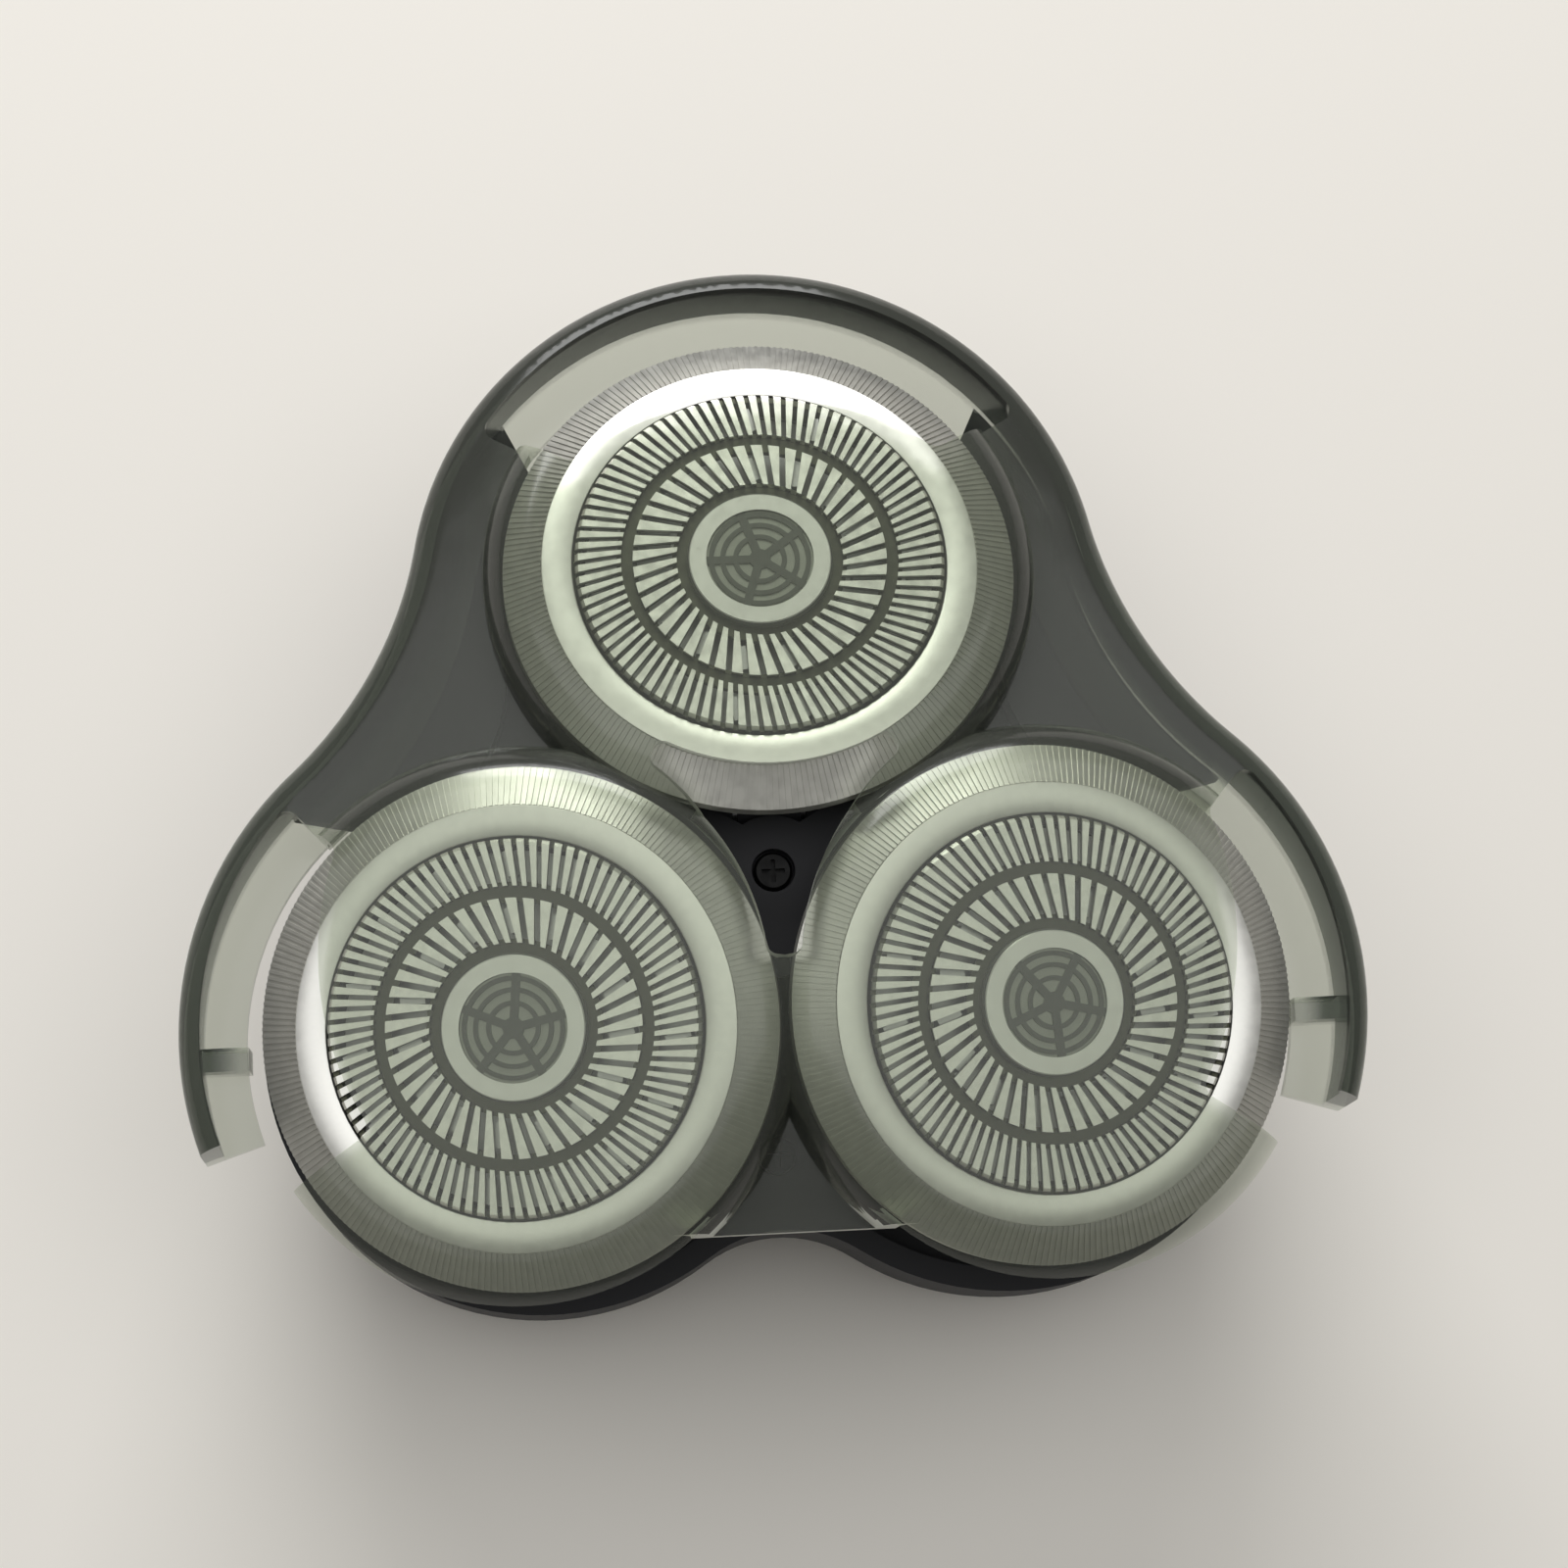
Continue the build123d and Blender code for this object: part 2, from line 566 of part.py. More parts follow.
def make_housing():
    """The base housing: a three-lobed tray on a round collar."""
    tray = Pos(0, 0, COLLAR_HEIGHT) * extrude(
        trefoil(BASE_CENTRE_RADIUS, BASE_LOBE_RADIUS, BASE_HOLLOW), amount=BASE_HEIGHT
    )
    tray = fillet(tray.faces().sort_by(Axis.Z)[0].edges(), BASE_FOOT_ROUND)
    shelf = make_shelf()
    tray += [shelf, mirror(shelf, about=Plane.YZ)]
    inside = trefoil(BASE_CENTRE_RADIUS, BASE_LOBE_RADIUS - BASE_WALL, BASE_HOLLOW + BASE_WALL)
    tray -= Pos(0, 0, FLOOR_TOP) * extrude(inside, amount=BASE_HEIGHT)
    collar = cylinder(COLLAR_RADIUS, 0, COLLAR_HEIGHT) - cylinder(COLLAR_BORE, 0, COLLAR_HEIGHT)
    collar = chamfer(collar.faces().sort_by(Axis.Z)[0].edges(), 0.4)
    boss = Pos(SCREW_CIRCLE, 0, 0) * (
        cylinder(SCREW_BOSS_RADIUS, FLOOR_TOP, COVER_HEIGHT)
        - cylinder(SCREW_RADIUS + SEAT_GAP / 2, FLOOR_TOP, COVER_HEIGHT)
    )
    journal = Pos(GEAR_RADIUS, 0, 0) * cylinder(
        GEAR_HUB_RADIUS + RUNNING_FIT, GEAR_HEIGHT - JOURNAL_LENGTH - FREE_GAP, FLOOR_TOP
    )
    drive_hole = cylinder(DRIVE_HUB_RADIUS + RUNNING_FIT, COLLAR_HEIGHT, FLOOR_TOP)
    holes = ring_of(journal, 3, HEAD_ANGLES[0]) + [drive_hole]
    return tray + collar + ring_of(boss, 3, HEAD_ANGLES[0] + 60) - holes


def make_cover():
    """The base cover: a plate over the gears, with the hub pillar and its hinge ears."""
    inset = BASE_WALL + SEAT_GAP
    plate = Pos(0, 0, COVER_HEIGHT) * extrude(
        trefoil(BASE_CENTRE_RADIUS, BASE_LOBE_RADIUS - inset, BASE_HOLLOW + inset), amount=COVER_PLATE
    )
    yoke_top = PIVOT_HEIGHT - LUG_RADIUS - 1.5 * FREE_GAP
    pillar = turned([
        (0, COVER_TOP),
        (PILLAR_RADIUS + 0.8, COVER_TOP),
        (PILLAR_RADIUS, COVER_TOP + 0.8),
        (PILLAR_RADIUS, yoke_top - YOKE_PLATE),
        (YOKE_RADIUS, yoke_top - YOKE_PLATE / 2),
        (YOKE_RADIUS, yoke_top),
        (PILLAR_TOP_RADIUS, yoke_top),
        (PILLAR_TOP_RADIUS, PILLAR_TOP),
        (0, PILLAR_TOP),
    ])
    ear_start = LUG_WIDTH / 2 + FREE_GAP
    ear_root = box(
        (PIVOT_RADIUS - EAR_RADIUS, PIVOT_RADIUS + EAR_RADIUS),
        (ear_start, ear_start + EAR_WIDTH),
        (yoke_top - YOKE_PLATE / 4, PIVOT_HEIGHT),
    )
    ear_eye = (
        Pos(PIVOT_RADIUS, ear_start + EAR_WIDTH / 2, PIVOT_HEIGHT)
        * Rot(90, 0, 0)
        * Cylinder(EAR_RADIUS, EAR_WIDTH)
    )
    ear = ear_root + ear_eye
    ears = ear + mirror(ear, about=Plane.XZ)
    pin_hole = Pos(PIVOT_RADIUS, 0, PIVOT_HEIGHT) * Rot(90, 0, 0) * Cylinder(
        PIN_RADIUS + SEAT_GAP / 2, 2 * (ear_start + EAR_WIDTH)
    )
    boss = Pos(GEAR_RADIUS, 0, 0) * cylinder(
        GEAR_HUB_RADIUS + RUNNING_FIT + BOSS_WALL, COVER_HEIGHT, HUB_TOP - FREE_GAP
    )
    boss_hole = Pos(GEAR_RADIUS, 0, 0) * cylinder(GEAR_HUB_RADIUS + RUNNING_FIT, COVER_HEIGHT, HUB_TOP)
    screw_hole = Pos(SCREW_CIRCLE, 0, 0) * cylinder(SCREW_RADIUS + SEAT_GAP, COVER_HEIGHT, COVER_TOP)
    hub_hole = cylinder(SCREW_RADIUS + SEAT_GAP / 2, PILLAR_TOP - SCREW_LENGTH, PILLAR_TOP)
    drive_pocket = cylinder(DRIVE_PIN_RADIUS + RUNNING_FIT, COVER_HEIGHT, COVER_TOP - FREE_GAP)
    solid = plate + pillar + ring_of(boss, 3, HEAD_ANGLES[0]) + ring_of(ears, 3, HEAD_ANGLES[0])
    holes = ring_of(pin_hole, 3, HEAD_ANGLES[0]) + ring_of(boss_hole, 3, HEAD_ANGLES[0])
    holes += ring_of(screw_hole, 3, HEAD_ANGLES[0] + 60) + [hub_hole, drive_pocket]
    return solid - holes


def make_clamp():
    """The hub plate over the hinge pins: a three-armed star with a screw recess."""
    low = CLAMP_TOP - HUB_PLATE
    disc = cylinder(HUB_RADIUS, low, CLAMP_TOP)
    arm = box((0, HUB_ARM_REACH - HUB_ARM_WIDTH / 2), (-HUB_ARM_WIDTH / 2, HUB_ARM_WIDTH / 2), (low, CLAMP_TOP))
    end = Pos(HUB_ARM_REACH - HUB_ARM_WIDTH / 2, 0, 0) * cylinder(HUB_ARM_WIDTH / 2, low, CLAMP_TOP)
    boss = cylinder(PILLAR_TOP_RADIUS, PILLAR_TOP, low)
    recess = cylinder(SCREW_HEAD_RADIUS + 0.15, CLAMP_TOP - SCREW_HEAD - 0.3, CLAMP_TOP)
    hole = cylinder(SCREW_RADIUS + SEAT_GAP, PILLAR_TOP, CLAMP_TOP)
    return disc + ring_of(arm + end, 3, HEAD_ANGLES[0] + 60) + boss - recess - hole


def make_screw(head_seat, length):
    """A small pan-head screw with a cross recess, its head standing on the given height."""
    shank = cylinder(SCREW_RADIUS, head_seat - length, head_seat)
    head = cylinder(SCREW_HEAD_RADIUS, head_seat, head_seat + SCREW_HEAD)
    head = chamfer(head.faces().sort_by(Axis.Z)[-1].edges(), 0.15)
    top = head_seat + SCREW_HEAD
    reach = 0.6 * SCREW_HEAD_RADIUS
    bar = box((-reach, reach), (-0.13, 0.13), (top - 0.4, top))
    return shank + head - bar - Rot(0, 0, 90) * bar


def dome(wall, depth):
    """One head's dome, thicker than its inner face by the wall, down to a depth."""
    shoulder = DOME_SHOULDER + wall
    centre = DOME_CLEARANCE - DOME_SHOULDER
    top = centre + shoulder
    edge = DOME_FLAT_RADIUS + shoulder
    half = sqrt(0.5) * shoulder
    outline = [
        Line((0, top), (DOME_FLAT_RADIUS, top)),
        ThreePointArc((DOME_FLAT_RADIUS, top), (DOME_FLAT_RADIUS + half, centre + half), (edge, centre)),
        Polyline((edge, centre), (edge, -depth), (0, -depth), (0, top)),
    ]
    return revolve(Plane.XZ * make_face(outline), axis=Axis.Z)


def web_block(drop, inset):
    """The space under a shallow cone, inside the cap's outline set in by a distance."""
    height = WEB_HEIGHT - CAP_FOOT
    grow = height * tan(radians(CAP_DRAFT))
    outline = trefoil(CAP_CENTRE_RADIUS, CAP_LOBE_RADIUS + grow - inset, CAP_HOLLOW - grow + inset)
    block = Pos(0, 0, CAP_FOOT) * extrude(outline, amount=height, taper=CAP_DRAFT)
    reach = 2 * CAP_WAIST
    cone = turned([
        (0, CAP_FOOT - 1),
        (reach, CAP_FOOT - 1),
        (reach, WEB_HEIGHT - drop - CAP_WEB_SLOPE * reach),
        (0, WEB_HEIGHT - drop),
    ])
    return block & cone


def head_point(angle, distance=0.0, direction=0.0):
    """A plan point at a distance and direction from a head's centre."""
    centre = Vector(HEAD_RADIUS, 0).rotate(Axis.Z, angle)
    return centre + Vector(distance, 0).rotate(Axis.Z, direction)


def front_region():
    """The plan area in front of the cap's web and skirt ends, on the left side."""
    centre = head_point(LEFT)
    far = 3 * CAP_WAIST
    end = head_point(LEFT, far, LEFT + SKIRT_END_ANGLE)
    points = [
        (centre.X, centre.Y),
        (end.X, end.Y),
        (-far, -far),
        (0, -far),
        (0, -FRONT_WEB_EDGE),
        (0.7 * centre.X, -FRONT_WEB_EDGE),
    ]
    return make_face(Polyline(*points, close=True))


def window(angle, start, end):
    """The plan area of one side window, between two directions seen from its head."""
    inset = CAP_WALL
    far = 3 * CAP_WAIST
    centre = head_point(angle)
    points = [(centre.X, centre.Y)]
    for share in (0, 0.5, 1):
        corner = head_point(angle, far, start + share * (end - start))
        points.append((corner.X, corner.Y))
    wedge = make_face(Polyline(*points, close=True))
    wedge &= trefoil(CAP_CENTRE_RADIUS, CAP_LOBE_RADIUS - inset, CAP_HOLLOW + inset)
    arc_centre = Vector(WINDOW_ARC_CENTRE, 0).rotate(Axis.Z, angle)
    area = wedge - Pos(arc_centre.X, arc_centre.Y) * Circle(WINDOW_ARC_RADIUS)
    return fillet(area.vertices(), WINDOW_ROUND)


def centre_opening():
    """The plan area of the three-cornered opening over the hub."""
    side = Circle(OPENING_SIDE_RADIUS)
    apex = OPENING_REACH / sin(radians(30))
    foot = (OPENING_REACH + OPENING_FRONT * sin(radians(30))) / cos(radians(30))
    area = make_face(Polyline((0, apex), (foot, -OPENING_FRONT), (-foot, -OPENING_FRONT), close=True))
    area -= Pos(0, HEAD_RADIUS) * Circle(OPENING_REAR_RADIUS)
    area -= Pos(-OPENING_SIDE_X, -OPENING_SIDE_Y) * side
    area -= Pos(OPENING_SIDE_X, -OPENING_SIDE_Y) * side
    return fillet(area.vertices(), OPENING_ROUND)


def make_cap():
    """The clear cap: three domes in a web, with a skirt round the back and both sides."""
    top = GUARD_HEIGHT + 10
    body = web_block(0, 0)
    web = body.faces().sort_by(Axis.Z)[-1]
    rim = [edge for edge in web.edges() if hypot(edge.center().X, edge.center().Y) > 0.8 * CAP_WAIST]
    body = fillet(rim, CAP_ROUND)
    front = extrude(front_region(), amount=top)
    fronts = (front, mirror(front, about=Plane.YZ))
    body -= fronts
    body += [on_head(dome(DOME_WALL, DOME_DEPTH), angle) for angle in HEAD_ANGLES]
    reach = 2 * CAP_WAIST
    ledge_inset = CAP_WALL + LEDGE_WIDTH
    body -= web_block(CAP_WEB, CAP_WALL) - cylinder(reach, 0, CAP_FOOT + LEDGE)
    body -= web_block(CAP_WEB, ledge_inset) & cylinder(reach, 0, CAP_FOOT + LEDGE + 1)
    below = box((-reach, reach), (-reach, reach), (-reach, -FRONT_EDGE_DROP))
    for angle, region in zip(HEAD_ANGLES[1:], fronts):
        body -= region & on_head(below, angle)
    body -= [on_head(dome(0, DOME_REACH), angle) for angle in HEAD_ANGLES]
    middle = HEAD_RADIUS * cos(radians(60))
    relief = box(
        (middle - RELIEF_LENGTH / 2, middle + RELIEF_LENGTH / 2),
        (-RELIEF_WIDTH / 2, RELIEF_WIDTH / 2),
        (CAP_FOOT, GUARD_HEIGHT + RELIEF_RISE),
    )
    body -= ring_of(relief, 3, HEAD_ANGLES[0] + 60)
    areas = [
        window(REAR, REAR - REAR_WINDOW_HALF, REAR + REAR_WINDOW_HALF),
        window(LEFT, LEFT - SIDE_WINDOW_END, LEFT - SIDE_WINDOW_START),
        window(RIGHT, RIGHT + SIDE_WINDOW_START, RIGHT + SIDE_WINDOW_END),
    ]
    for area in areas:
        body -= Pos(0, 0, CAP_FOOT + LEDGE) * extrude(area, amount=top)
    body -= extrude(centre_opening(), amount=top)
    rib_foot = CAP_FOOT + LEDGE
    across = CAP_CENTRE_RADIUS * cos(radians(30)) + CAP_LOBE_RADIUS
    level = -HEAD_RADIUS * sin(radians(30))
    rib = box(
        (across - CAP_WALL - LEDGE_WIDTH, across - CAP_WALL / 2),
        (level - RIB_WIDTH / 2, level + RIB_WIDTH / 2),
        (rib_foot, rib_foot + RIB_HEIGHT),
    )
    return body + rib + mirror(rib, about=Plane.YZ)


def write(name, shape):
    """Write one piece to its own file."""
    export_step(shape, f"parts/{name}.step")


def main():
    os.makedirs("parts", exist_ok=True)
    in_head = {
        "guard": make_guard(),
        "badge": make_badge(),
        "bezel": make_bezel(),
        "cutter": make_cutter(),
        "cutter_carrier": make_carrier(),
        "retainer": make_retainer(),
        "hair_chamber": make_chamber(),
    }
    upright = {
        "hinge_pin": make_pin(),
        "spindle": make_spindle(),
        "spindle_spring": make_spring(),
        "head_gear": make_head_gear(),
    }
    for angle, name in zip(HEAD_ANGLES, HEAD_NAMES):
        for piece, shape in in_head.items():
            write(f"{piece}_{name}", on_head(shape, angle))
        for piece, shape in upright.items():
            write(f"{piece}_{name}", Rot(0, 0, angle) * shape)
    write("drive_gear", make_drive_gear())
    write("base_housing", make_housing())
    write("base_cover", make_cover())
    write("hub_plate", make_clamp())
    write("hub_screw", make_screw(CLAMP_TOP - SCREW_HEAD - 0.3, SCREW_LENGTH - 0.5))
    cover_screw = Pos(SCREW_CIRCLE, 0, 0) * make_screw(COVER_TOP, SCREW_LENGTH - 0.5)
    write("cover_screws", Compound(ring_of(cover_screw, 3, HEAD_ANGLES[0] + 60)))
    write("cap", make_cap())


main()
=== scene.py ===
"""Dresses a three-headed shaving head with its clear cap on, for a studio picture from above."""

from math import atan2, cos, hypot, pi, radians, sin, tau

import bmesh
import bpy
from bpy.props import (
    FloatProperty,
    FloatVectorProperty,
    IntProperty,
    PointerProperty,
)
from mathutils import Matrix, Vector


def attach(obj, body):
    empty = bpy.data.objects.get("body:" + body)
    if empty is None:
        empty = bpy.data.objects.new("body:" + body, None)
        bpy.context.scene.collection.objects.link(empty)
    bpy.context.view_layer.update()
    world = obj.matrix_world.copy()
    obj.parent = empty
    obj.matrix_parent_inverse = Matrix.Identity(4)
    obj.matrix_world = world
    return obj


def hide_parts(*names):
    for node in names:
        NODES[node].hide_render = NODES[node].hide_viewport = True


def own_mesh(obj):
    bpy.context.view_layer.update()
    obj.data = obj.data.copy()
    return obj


bl_info = {
    "name": "Shaving head dresser",
    "version": (1, 0, 0),
    "blender": (4, 5, 0),
    "location": "View3D > Sidebar > Shaver",
    "description": "Finishes a rotary shaving head: cap, ribbed rings, slotted guards, black base",
    "category": "Object",
}

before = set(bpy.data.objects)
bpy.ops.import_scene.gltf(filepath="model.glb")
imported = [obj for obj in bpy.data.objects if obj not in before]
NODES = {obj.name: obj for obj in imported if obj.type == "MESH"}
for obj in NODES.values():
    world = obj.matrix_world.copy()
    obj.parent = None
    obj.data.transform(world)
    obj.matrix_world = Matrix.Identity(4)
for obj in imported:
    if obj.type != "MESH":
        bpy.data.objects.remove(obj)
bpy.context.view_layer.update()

# The heads, as in the CAD: each one's bearing in degrees, and the guards' top faces
HEADS = {"rear": 90, "left": 210, "right": 330}
HEAD_RADIUS = 0.0182
GUARD_HEIGHT = 0.0295
HEAD_TILT = radians(11.5)

# Points closer than the first are one, edges shorter than the second are dropped, and
# edges stay sharp above these angles
WELD_DISTANCE = 2e-7
SLIVER_LENGTH = 1e-8
SHARP_ANGLE = radians(32)
CAP_SHARP_ANGLE = radians(28)
RING_SHARP_ANGLE = radians(25)

# The cap's outline in plan: three lobes, and hollows that touch them from outside
LOBE_CENTRE = 0.0168
LOBE_RADIUS = 0.0208
HOLLOW_RADIUS = 0.0245

# The cap's dark rim: it starts above a height, fades in between two shares of its width,
# and painted shade darkens it towards the rear, from one Y to another
RIM_FOOT = 0.019
RIM_FADE = (1.15, 0.55)
REAR_PAINTED_SHADE = (0.016, 0.03)
REAR_PAINTED_SHADE_SHARE = 0.3

# The narrow faces along the cap's openings: above a height, nearly upright, and
# near the centre opening or at the open front
EDGE_FOOT = 0.0215
EDGE_UPRIGHT = 0.3
CENTRE_OPENING = 0.0122
FRONT_OPENING = -0.0205
# Share of the pale shader on those faces: a painted highlight along the openings' edges
EDGE_HIGHLIGHT_SHARE = 0.85

# Noise on the finishes: scale per metre, detail, bump depth, the part of its range that it
# mostly fills, and the share of a colour that is left where it is low
METAL_SCALE = 1500
COVER_SCALE = 1800
PLASTIC_SCALE = 2200
GUARD_SCALE = 1300
GRAIN_DETAIL = 2
GUARD_DETAIL = 3
GRAIN_DEPTH = 0.0000004
FROST_DEPTH = 0.000004
NOISE_SPAN = (0.3, 0.7)
PLATING_SPAN = (0.35, 0.65)
PLATING_SHADE = 0.94
GUARD_SHADE = 0.82
PLASTIC_SHADE = 0.85

# Roughness, where the noise is low and where it is high
HAZE_ROUGHNESS = 0.55
FROST_ROUGHNESS = (0.3, 0.5)
FACE_ROUGHNESS = (0.36, 0.42)
SIDE_ROUGHNESS = (0.34, 0.42)
GUARD_ROUGHNESS = (0.26, 0.42)
COVER_ROUGHNESS = (0.3, 0.38)
PLASTIC_ROUGHNESS = (0.41, 0.44)

# Finishes that are mostly hidden: colour, and roughness for the metals
CUTTER_STEEL = ((0.42, 0.42, 0.38), (0.3, 0.45))
FIXING_STEEL = ((0.5, 0.5, 0.5), (0.28, 0.4))
SCREW_BLACK = ((0.02, 0.02, 0.02), (0.45, 0.6))
CARRIER_GREY = (0.16, 0.16, 0.16)

# The guards' grooves, as heights in the head's frame, below which painted shade darkens them, and
# the marks that turning leaves
GROOVE_SPAN = (-0.0001, -0.0003)
TURNING_PITCH = 0.00006
TURNING_DEPTH = 0.000002
TURNING_STRENGTH = 0.3

# The round cover's heights, and the shares of them where the disc ends, the relief starts
# and ends, and the ring starts
COVER_SPAN = (-0.0001, 0.00008)
COVER_LEVELS = (0.3, 0.45, 0.7, 0.8)
COVER_METAL = 0.6

# The bright rings' section: the rounded edge of the face, the side under the slope, and
# the heights and radii of the parts hidden below
FACE_BEVEL = 0.0001
BEVEL_MIDDLE = 0.00003
FACE_MARGIN = 0.00002
SIDE_LAND = 0.00075
SIDE_CHAMFER = 0.0003
SEAT_HEIGHT = -0.0019
SIDE_FOOT = -0.003
COLLAR_FOOT = -0.0042
COLLAR_RADII = (0.0133, 0.0129)
RING_STEPS = 180

# A rib's box as shares of the rise that shows: thickness, and how far its middle moves
# in and down into the slope
RIB_THICKNESS = 1.9
RIB_SINK = (0.35, 0.55)
RIB_LENGTH_SHARE = 0.97
SLOPE_DIP = 0.2

# The table, a hair under the collar, and the soft panels: place, point faced and size
TABLE_HALF = 1.5
TABLE_HEIGHT = -0.00002
TABLE_ROUGHNESS = 0.4
WORLD_COLOUR = (1, 0.985, 0.93)
PANELS = {
    "overhead": ((0, 0.1, 0.62), (0, 0.1, 0), (0.95, 0.5)),
    "rear": ((-0.05, 0.55, 0.33), (0, 0, 0.02), (0.4, 0.3)),
}
SENSOR_WIDTH = 36
CLIP_START = 0.01


def head_matrix(name):
    """The place of a head: Z along its axis, X outwards, origin in the guard's top face."""
    turn = Matrix.Rotation(radians(HEADS[name]), 4, "Z")
    place = Matrix.Translation((HEAD_RADIUS, 0, GUARD_HEIGHT))
    return turn @ place @ Matrix.Rotation(HEAD_TILT, 4, "Y")


# Settings that a user may change


def colour_setting(name, description, default):
    """A colour that a user may change."""
    return FloatVectorProperty(
        name=name, description=description, subtype="COLOR", default=default, min=0, max=1
    )


class CapSettings(bpy.types.PropertyGroup):
    clear: colour_setting(
        "Clear tint", "Colour that each face of the plastic lets through", (0.97, 0.985, 0.945)
    )
    haze: FloatProperty(
        name="Haze",
        description="Share of light that an outer face scatters",
        default=0.17,
        min=0,
        max=1,
    )
    haze_colour: colour_setting(
        "Haze colour", "Colour of the scattered light", (0.26, 0.275, 0.235)
    )
    smoke: FloatProperty(
        name="Smoke",
        description="Loss of light inside the plastic, per metre of its thickness",
        default=220.0,
        min=0,
    )
    rim_colour: colour_setting(
        "Rim tint", "Colour that the rounded rim lets through", (0.23, 0.26, 0.23)
    )
    rim_width: FloatProperty(
        name="Rim width",
        description="Width of the dark rim, seen from above",
        default=0.003,
        min=0,
        unit="LENGTH",
    )
    smoke_colour: colour_setting(
        "Smoke colour", "Colour that the smoke lets through", (0.1, 0.14, 0.1)
    )
    # Painted highlight: the pale colour of the narrow faces along the openings
    edge_highlight_colour: colour_setting(
        "Edge colour", "Colour of the frosted edges of the openings", (0.85, 0.87, 0.8)
    )
    refraction: FloatProperty(
        name="Refraction",
        description="Refractive index, which sets the reflections",
        default=1.46,
        min=1,
        max=2,
    )
    roughness: FloatProperty(
        name="Roughness",
        description="Roughness of the moulded surface",
        default=0.16,
        min=0,
        max=1,
    )


class RingSettings(bpy.types.PropertyGroup):
    ribs: IntProperty(
        name="Ribs",
        description="Fine ribs round the sloping side",
        default=250,
        min=8,
        max=600,
    )
    rib_rise: FloatProperty(
        name="Rib height",
        description="Height of a rib above the slope",
        default=0.00011,
        min=0,
        unit="LENGTH",
    )
    rib_share: FloatProperty(
        name="Rib share",
        description="Width of a rib as a share of its pitch",
        default=0.5,
        min=0.1,
        max=0.9,
    )
    face_radius: FloatProperty(
        name="Face radius",
        description="Outer radius of the flat face",
        default=0.013,
        unit="LENGTH",
    )
    side_radius: FloatProperty(
        name="Side radius",
        description="Largest radius of the ring",
        default=0.0154,
        unit="LENGTH",
    )
    bore: FloatProperty(
        name="Bore", description="Radius of the hole", default=0.01115, unit="LENGTH"
    )
    face_drop: FloatProperty(
        name="Face drop",
        description="Depth of the face below the guard",
        default=0.00045,
        unit="LENGTH",
    )
    slope_drop: FloatProperty(
        name="Slope drop",
        description="Depth of the sloping side",
        default=0.0015,
        unit="LENGTH",
    )
    colour: colour_setting("Face colour", "Colour of the bright face", (0.95, 0.945, 0.9))
    face_metal: FloatProperty(
        name="Face metal",
        description="Share of the face that mirrors as metal",
        default=0.85,
        min=0,
        max=1,
    )
    side_metal: FloatProperty(
        name="Side metal",
        description="Share of the side that mirrors as metal",
        default=0.8,
        min=0,
        max=1,
    )
    # Painted shade: the side has the face's plating, and this darker colour stands in for the
    # shade and dark reflections in its fine ribs
    shaded_side_colour: colour_setting("Side colour", "Colour of the ribbed side", (0.64, 0.635, 0.59))


class SteelSettings(bpy.types.PropertyGroup):
    guard: colour_setting("Guard", "Colour of the ground guard bars", (0.88, 0.88, 0.82))
    # Painted shade: a dark colour that stands in for the shade in the guards' grooves
    groove_shade: colour_setting("Groove", "Colour of the etched grooves", (0.08, 0.082, 0.06))
    badge: colour_setting("Cover ring", "Colour of the round cover's ring", (0.8, 0.8, 0.76))
    disc: colour_setting("Cover disc", "Colour of the cover's sunk disc", (0.3, 0.31, 0.27))
    relief: colour_setting(
        "Cover relief", "Colour of the raised rings and spokes", (0.1, 0.105, 0.09)
    )


class BaseSettings(bpy.types.PropertyGroup):
    black: colour_setting(
        "Black plastic", "Colour of the base and hair chambers", (0.012, 0.012, 0.013)
    )
    works: colour_setting("Gear plastic", "Colour of the gears and spindles", (0.78, 0.77, 0.72))


class StageSettings(bpy.types.PropertyGroup):
    floor: colour_setting("Floor", "Colour of the table", (0.94, 0.905, 0.845))
    world: FloatProperty(
        name="World", description="Strength of the even light", default=0.17, min=0
    )
    overhead: FloatProperty(
        name="Overhead panel",
        description="Power of the soft panel above, in watts",
        default=1.85,
        min=0,
    )
    rear: FloatProperty(
        name="Rear panel",
        description="Power of the panel behind, in watts",
        default=2.75,
        min=0,
    )
    camera_place: FloatVectorProperty(
        name="Camera",
        description="Place of the camera",
        subtype="TRANSLATION",
        default=(-0.0142, -0.0361, 0.2493),
    )
    camera_aim: FloatVectorProperty(
        name="Aim",
        description="Point that the camera looks at",
        subtype="TRANSLATION",
        default=(0.00068, 0.00454, 0.0295),
    )
    camera_roll: FloatProperty(
        name="Roll", description="Roll of the camera", default=radians(-3.18), subtype="ANGLE"
    )
    lens: FloatProperty(
        name="Lens", description="Focal length for a 36 mm sensor", default=87.6, min=1
    )


def settings(group):
    """The scene's settings of one group."""
    return getattr(bpy.context.scene, "shaver_" + group)


# Shader nodes


def link(tree, start, end):
    tree.links.new(start, end)


def feed(tree, socket, value):
    """Link a socket to a value's socket, or set a number or colour on it."""
    if isinstance(value, bpy.types.NodeSocket):
        link(tree, value, socket)
    elif isinstance(value, (int, float)):
        socket.default_value = value
    else:
        socket.default_value = (*value, 1)


def compute(tree, operation, *values):
    """A math node fed by sockets or numbers."""
    node = tree.nodes.new("ShaderNodeMath")
    node.operation = operation
    for socket, value in zip(node.inputs, values):
        feed(tree, socket, value)
    return node.outputs[0]


def plane_length(tree, x, y):
    """The length of a plane vector, as a value socket."""
    squares = [compute(tree, "MULTIPLY", side, side) for side in (x, y)]
    return compute(tree, "SQRT", compute(tree, "ADD", *squares))


